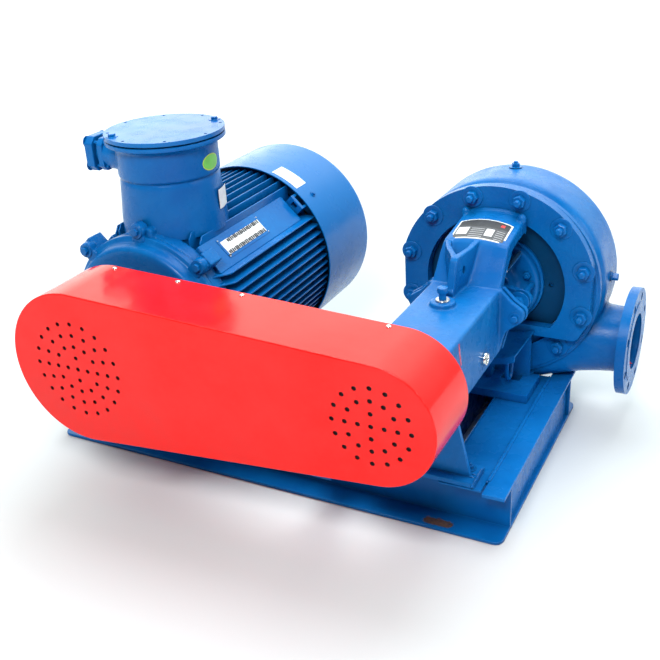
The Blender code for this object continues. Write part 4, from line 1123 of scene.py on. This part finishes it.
def hood_top(x, y):
    """Height of the hood's arched top."""
    heights = ((0.6, 0.549), (0.617, 0.569), (0.626, 0.5765), (0.66, 0.585), (0.7, 0.592), (0.74, 0.5975))
    for (y0, z0), (y1, z1) in zip(heights, heights[1:]):
        if y <= y1:
            break
    return z0 + (z1 - z0) * (y - y0) / (y1 - y0) - 0.012 * ((x - PUMP_X) / 0.08) ** 2


def hood_plate():
    """Enamelled plate on the hood: white rim, dark fields with rulings, two white ones and a red spot."""
    left, right = PUMP_X - 0.068, PUMP_X + 0.067
    front, back = 0.627, 0.71

    def patch(name, xs, ys, lift, finish, curve=0.0):
        sections = []
        for n in range(21):
            x = xs[0] + (xs[1] - xs[0]) * n / 20
            rise = curve * (1 - (n / 10 - 1) ** 2)
            rows = [ys[0] + (ys[1] + rise - ys[0]) * k / 4 for k in range(5)]
            sections.append([(x, y, hood_top(x, y) + lift) for y in rows] + [(x, y,
                                                                              hood_top(x, y)
                                                                              + lift - 0.0016)
                                                                             for y in reversed(rows)])
        piece(name, loft(sections), finish)

    patch("hood_plate_rim", (left, right), (front, back), 0.0014, WHITE_LABEL, 0.007)
    patch("hood_plate_header", (left + 0.004, right - 0.004), (0.68, back - 0.0035), 0.0017, INK, 0.007)
    patch("hood_plate_body", (left + 0.004, right - 0.004), (front + 0.004, 0.68), 0.0017, LABEL_GREY)
    for number, (xs, ys) in enumerate((((left + 0.008, left + 0.036), (0.644, 0.674)),
                                       ((PUMP_X + 0.012, PUMP_X + 0.032), (0.642, 0.672)))):
        patch(f"hood_plate_field_{number}", xs, ys, 0.002, WHITE_LABEL)
    patch("hood_plate_spot", (PUMP_X + 0.04, PUMP_X + 0.05), (0.69, 0.7), 0.002, RED_INK)
    for number in range(5):
        y = 0.635 + number * 0.0082
        patch(f"hood_plate_line_{number}", (PUMP_X - 0.026, PUMP_X + 0.008), (y, y + 0.0018), 0.002,
              LABEL_LINE)
        patch(f"hood_plate_mark_{number}", (PUMP_X + 0.038, PUMP_X + 0.058), (y, y + 0.0018), 0.002,
              LABEL_LINE)


def casing():
    profile = [(0.0, 0.818), (0.258, 0.818), (0.258, 0.827), (0.26, 0.831), (0.265, 0.836), (0.2675, 0.84),
               (0.269, 0.848), (CASING_RADIUS, 0.86), (CASING_RADIUS, 0.97), (0.2685, 0.978),
               (0.265, 0.985), (0.259, 0.9905), (0.25, 0.994), (0.238, 0.9955), (0.18, 0.9975),
               (0.0, 0.9978)]
    body = spun(profile, "y", CASING, 176)
    face = FLANGE_THICK / 2
    reach = CASING_END - 0.006 - PORT[0]
    neck = []
    for x, radius in ((0.8, 0.136), (0.85, 0.124), (0.895, 0.113), (0.93, 0.1045), (0.965, 0.0975),
                      (0.995, 0.093), (1.02, 0.09), (1.045, PIPE_RADIUS), (PORT_FACE - face, PIPE_RADIUS)):
        low = min(radius, reach)
        section = []
        for across, up in circle((0.0, 0.0), radius, 64):
            y = PORT[0] + min(max(across, -low), low)
            section.append((x, y, PORT[1] + (PIPE_RADIUS - radius) * 0.3 + up))
        neck.append(section)
    rear = solid([(0.112, 0.975), (0.104, 1.0), (0.094, 1.012), (PIPE_RADIUS, 1.028),
                  (PIPE_RADIUS, REAR_FACE - face)], "y", PUMP, 96)
    made = cast("volute", [body, loft(neck), rear], 0.004, 5, CAST, ("pump_casing",))
    settle(made)
    trimmed(made, solid([(BORE_RADIUS, PUMP_X + 0.05), (BORE_RADIUS, PORT_FACE + 0.02)], "x", PORT, 72))
    trimmed(made, solid([(BORE_RADIUS, 0.95), (BORE_RADIUS, REAR_FACE + 0.02)], "y", PUMP, 72))
    made.data.set_sharp_from_angle(angle=math.radians(50))
    rim = [(0.19, 0.8003), (0.254, 0.8003), (0.255, 0.803), (0.2565, 0.804), (0.2625, 0.8045),
           (0.2635, 0.8055), (0.2635, 0.8205), (0.2625, 0.8215), (0.256, 0.822), (0.255, 0.83),
           (0.19, 0.83)]
    piece("volute_rim", spun(rim, "y", CASING, 176), CAST, sharp=40)
    flanges()


def flanges():
    for name, axis, centre, end in (("discharge_flange", "x", PORT, PORT_FACE),
                                    ("suction_flange", "y", PUMP, REAR_FACE)):
        start = end - FLANGE_THICK
        bore = circle(centre, BORE_RADIUS, 96)
        holes = [circle(around(centre, FLANGE_BOLT_CIRCLE, (n + 0.5) * math.pi / 4), FLANGE_HOLE,
                        32) for n in range(8)]
        disc = plate(circle(centre, FLANGE_RADIUS, 144), holes + [bore], axis, start, end - 0.0015)
        raised = plate(circle(centre, 0.106, 96), [bore], axis, end - 0.004, end)
        piece(name, joined([disc, raised]), CAST, bevel=0.0014, sharp=50, segments=3)
    patch = []
    for n in range(13):
        turn = math.radians(-122 + 4 * n)
        ragged = 0.004 * math.sin(2.3 * n)
        near, far = PORT_FACE - 0.046 + ragged, PORT_FACE - 0.01 - 1.5 * ragged
        inner, outer = around(PORT, BORE_RADIUS - 0.0012, turn), around(PORT, BORE_RADIUS + 0.001, turn)
        patch.append([(near, *inner), (far, *inner), (far, *outer), (near, *outer)])
    piece("bore_red_mark", loft(patch), RED_MARK)


def plugs():
    top, side = CASING[1] + CASING_RADIUS, CASING[0] + CASING_RADIUS
    vent, drain = (0.74, 0.946), (0.9, 0.408)
    boss = solid([(0.0125, top - 0.006), (0.012, top + 0.002)], "z", vent, 32)
    piece("vent_boss", boss, CAST, bevel=0.001)
    head = hex_head(0.019, 0.009, 0.001, 0.005)
    piece("vent_plug", copies(head, [((*vent, top + 0.0015), UPWARD)]), SHEET, bevel=0.0009)
    boss = solid([(0.0125, side - 0.006), (0.012, side + 0.004)], "x", drain, 32)
    piece("drain_boss", boss, CAST, bevel=0.0008)
    head = hex_head(0.017, 0.014, 0.001)
    piece("drain_plug", copies(head, [((side + 0.0035, *drain), (1.0, 0.0, 0.0))]), SHEET,
          bevel=0.0009)


# Base and supports


def weld_bead(points, radius=0.0028):
    """Wavy fillet bead along a run of points."""
    total = []
    for start, end in zip(points, points[1:]):
        a, b = Vector(start), Vector(end)
        count = max(2, round((b - a).length / 0.0045))
        total += [a.lerp(b, n / count) for n in range(count)]
    total.append(Vector(points[-1]))
    sections = []
    for n, spot in enumerate(total):
        ahead = (total[min(n + 1, len(total) - 1)] - total[max(n - 1, 0)]).normalized()
        side = ahead.cross(Vector(UPWARD))
        side = side.normalized() if side.length > 0.1 else Vector((1.0, 0.0, 0.0))
        up = side.cross(ahead)
        size = radius * (1.0 + 0.16 * math.sin(n * 2.4) + 0.1 * math.sin(n * 1.1))
        if n in (0, len(total) - 1):
            size *= 0.4
        sections.append([spot + side * right + up * rise for right, rise in circle((0.0, 0.0), size, 8)])
    return loft(sections)


def base_welds():
    z = DECK_TOP + 0.0005
    lines = [
        [(0.862, 0.252, 0.1305), (0.862, 0.334, 0.1305)],
        [(0.781, 0.312, z), (0.781, 0.84, z)],
        [(0.884, 0.3, z + 0.001), (0.884, 0.84, z + 0.001)],
    ]
    lines += [[(0.626, y, 0.1302), (0.856, y, 0.1302)] for y in (0.292, 0.304)]
    piece("base_weld_beads", joined([weld_bead(line, 0.0024) for line in lines]), SHEET)


def foot_bolts():
    spots = [((PUMP_X + side * 0.085, 0.808, 0.1405), UPWARD) for side in (-1, 1)]
    piece("pump_foot_bolts", copies(hex_head(0.024, 0.013, 0.003, 0.008), spots), SHEET,
          bevel=0.0012)
    spots = []
    for side in (-1, 1):
        for y in (0.365, 0.7):
            spots.append(((side * 0.224, y, 0.17), UPWARD))
    piece("motor_foot_bolts", copies(hex_head(0.03, 0.018, 0.0035, 0.012), spots), SHEET,
          bevel=0.0014)
    spots = [((PUMP_X + 0.092, 0.325, 0.1305), UPWARD), ((PUMP_X - 0.092, 0.325, 0.1305), UPWARD)]
    piece("support_bolts", copies(hex_head(0.017, 0.009, 0.002, 0.005), spots), SHEET,
          bevel=0.0009)


def smooth_run(points, count):
    """Evenly shared points on a smooth curve through the given ones."""
    spots = [Vector(point) for point in points]
    ends = [2 * spots[0] - spots[1]] + spots + [2 * spots[-1] - spots[-2]]
    run = []
    for n in range(count + 1):
        place = n / count * (len(spots) - 1)
        k = min(int(place), len(spots) - 2)
        t = place - k
        a, b, c, d = ends[k:k + 4]
        square, cube = 2 * a - 5 * b + 4 * c - d, 3 * b - a - 3 * c + d
        run.append(0.5 * ((2 * b) + (c - a) * t + square * t ** 2 + cube * t ** 3))
    return run


def cradle():
    """Drip tray between the bearing housing and the pump, with a turned-down lip and a drain bend."""
    start, end = 0.658, 0.7737
    sections = []
    for n in range(13):
        share = n / 12
        y = start + share * (end - start)
        half = 0.0955 + 0.0165 * share
        rim = 0.2613 + 0.0235 * share
        across = [half * k / 16 for k in range(-16, 17)]
        upper = [(PUMP_X + x, y, rim - 0.016 * (1 - abs(x / half) ** 2.6)) for x in across]
        lower = [(PUMP_X + x, y,
                  rim - 0.006 - 0.016 * (1 - abs(x / half) ** 2.6)) for x in reversed(across)]
        sections.append(upper + lower)
    strip = []
    for k in range(-16, 17):
        rim = 0.2613 - 0.016 * (1 - abs(k / 16) ** 2.6)
        strip.append([(PUMP_X + 0.0955 * k / 16, start + back, rim - drop) for back,
                      drop in ((0.0005, -0.0015), (-0.0045, -0.0015), (-0.0045, 0.018), (0.0005, 0.018))])
    stay = block((PUMP_X - 0.0075, PUMP_X + 0.0075), (0.738, end), (0.1408, 0.258))
    piece("drip_tray", joined([loft(sections), loft(strip), stay]), CAST, ("cradle_arm",),
          bevel=0.0012, sharp=45)
    bend = [(0.806, 0.69, 0.24), (0.806, 0.692, 0.215), (0.806, 0.694, 0.19), (0.806, 0.702, 0.168),
            (0.806, 0.716, 0.16), (0.806, 0.73, 0.168), (0.806, 0.736, 0.188), (0.806, 0.737, 0.205)]
    piece("tray_drain", tube(smooth_run(bend, 28), 0.0058), SHEET)


def base_extras():
    knob = spun([(0.0, 0.1145), (0.013, 0.1145), (0.0145, 0.118), (0.0145, 0.13), (0.0115, 0.135),
                 (0.0, 0.136)], "z", (0.868, 0.872), 32)
    piece("base_plug", knob, BLACK, sharp=50)
    low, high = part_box("base_side_beam_right")
    strip = block((high[0] - ORIGIN.x - 0.058, high[0] - ORIGIN.x - 0.05), (BASE_FRONT + 0.07,
                                                                            high[1] - ORIGIN.y - 0.07),
                  (high[2] - 0.002, high[2] + 0.0025))
    piece("beam_edge_strip", strip, LIT_BEAM_BLUE, bevel=0.0014)
    rust = Graph("slot_rust")
    tone = rust.mix(rust.span(rust.noise(120.0, 5.0, 0.7), 0.3, 0.7), (0.16, 0.085, 0.04),
                    (0.035, 0.04, 0.06))
    rust.set(Base_Color=tone, Roughness=0.9, Normal=rust.bump(rust.noise(240.0, 4.0), 0.5, 0.002))
    low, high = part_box("base_front_beam")
    scale = []
    for x in (low[0] - ORIGIN.x + SLOT_INSET, high[0] - ORIGIN.x - SLOT_INSET):
        y = BASE_FRONT + SLOT_BACK
        outline = (arc((x + SLOT_HALF, y), SLOT_RADIUS, -math.pi / 2, math.pi / 2,
                       12) + arc((x - SLOT_HALF, y), SLOT_RADIUS, math.pi / 2, 3 * math.pi / 2, 12))
        scale.append(prism(outline, "z", 0.0002, 0.006))
    piece("anchor_slot_scale", joined(scale), rust.material)


# Carried-over nodes


def finish_nodes():
    """Better finish and rounded edges for the frame's own nodes that stay in view."""
    low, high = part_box("base_front_beam")
    slots = [(centre, low[1] + SLOT_BACK) for centre in (low[0] + SLOT_INSET, high[0] - SLOT_INSET)]
    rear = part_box("base_rear_beam")[1][1] - SLOT_BACK
    finishes = {
        "base_front_beam": rusty_paint("front_beam_blue", slots),
        "base_rear_beam": rusty_paint("rear_beam_blue", [(x, rear) for x, _ in slots]),
        "motor_fan": BLACK, "motor_shaft": STEEL, "pump_shaft": STEEL, "motor_pulley": SHEAVE,
        "pump_pulley": SHEAVE,
        "drive_belt": RUBBER, "guard_back_plate": GUARD,
    }
    sharp_edged = ("motor_fan", "drive_belt", "motor_shaft", "pump_shaft", "motor_pulley", "pump_pulley")
    for name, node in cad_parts.items():
        # Base parts take the lighter blue of painted light
        plain = LIT_BEAM_BLUE if name.startswith(("base_", "pump_deck", "motor_rail", "pump_f")) else SHEET
        finish = finishes.get(name, plain)
        node.data.materials.clear()
        node.data.materials.append(finish)
        step = node.modifiers.new("weld", "WELD")
        step.merge_threshold = 0.00002
        round_edges(node, 0.0006 if name in sharp_edged else 0.0016, 32)
        keep_flat(node)


# Studio


def light(name, place, target, size, power, colour=(1.0, 1.0, 1.0)):
    data = bpy.data.lights.new(name, "AREA")
    data.shape = "RECTANGLE"
    data.size, data.size_y = size
    data.energy = power
    data.color = colour
    made = bpy.data.objects.new(name, data)
    made.location = place
    made.rotation_euler = (Vector(target) - Vector(place)).to_track_quat("-Z", "Y").to_euler()
    bpy.context.scene.collection.objects.link(made)


def studio():
    light("front_softbox", (0.7, -3.0, 3.3), (0.0, 0.0, 0.35), (1.5, 1.0), 135)
    light("right_softbox", (3.2, 0.4, 2.0), (0.2, 0.2, 0.4), (1.2, 1.2), 28)
    light("top_softbox", (0.0, 0.8, 3.6), (0.0, 0.1, 0.3), (2.4, 2.0), 85, (0.86, 0.96, 1.0))
    world = bpy.data.worlds.new("studio")
    world.use_nodes = True
    nodes, links = world.node_tree.nodes, world.node_tree.links
    place = nodes.new("ShaderNodeTexCoord").outputs["Generated"]
    lean = nodes.new("ShaderNodeVectorMath")
    lean.operation = "DOT_PRODUCT"
    links.new(place, lean.inputs[0])
    lean.inputs[1].default_value = Vector(SKY_DIRECTION).normalized()
    ramp = nodes.new("ShaderNodeValToRGB")
    links.new(lean.outputs["Value"], ramp.inputs[0])
    shades = ramp.color_ramp.elements
    for position, _ in SKY[1:-1]:
        shades.new(position)
    for shade, (position, colour) in zip(shades, SKY):
        shade.position = position
        shade.color = (*colour, 1.0)
    links.new(ramp.outputs[0], nodes["Background"].inputs["Color"])
    nodes["Background"].inputs["Strength"].default_value = 1.0
    bpy.context.scene.world = world
    bpy.context.scene.view_settings.view_transform = "Standard"


def camera():
    data = bpy.data.cameras.new("camera")
    data.lens, data.sensor_width = LENS, SENSOR
    made = bpy.data.objects.new("camera", data)
    back = CAMERA_RIGHT.cross(CAMERA_UP)
    turn = Matrix((CAMERA_RIGHT, CAMERA_UP, back)).transposed().to_4x4()
    made.matrix_world = Matrix.Translation(CAMERA_PLACE) @ turn
    bpy.context.scene.collection.objects.link(made)
    bpy.context.scene.camera = made


def floor():
    """Pale floor, kept evenly bright toward its far end."""
    shape = bmesh.new()
    bmesh.ops.create_grid(shape, x_segments=1, y_segments=1, size=12.0)
    mesh = bpy.data.meshes.new("floor")
    shape.to_mesh(mesh)
    shape.free()
    made = bpy.data.objects.new("floor", mesh)
    made.location.z = -0.001
    bpy.context.scene.collection.objects.link(made)
    graph = Graph("pale_floor")
    away = graph.add("ShaderNodeVectorMath", operation="LENGTH")
    graph.feed(away.inputs[0], graph.place)
    graph.set(Base_Color=(0.64, 0.65, 0.66), Roughness=0.9, Specular_IOR_Level=0.0,
              Emission_Color=(0.97, 0.99, 1.0), Emission_Strength=graph.span(away.outputs["Value"], 0.9,
                                                                             4.5, 0.0, 0.85))
    mesh.materials.append(graph.material)


for make in (finish_nodes, guard, motor_body, motor_pads, motor_saddle, shields, cowl, cowl_shade_ring,
             nameplate, terminal_box, gland, box_labels, cover_ring, stuffing_box, gland_parts,
             bearing_bracket, bearing_covers, oil_fittings, hood_plate, casing, plugs, base_welds,
             foot_bolts, cradle, base_extras, floor, camera, studio):
    make()
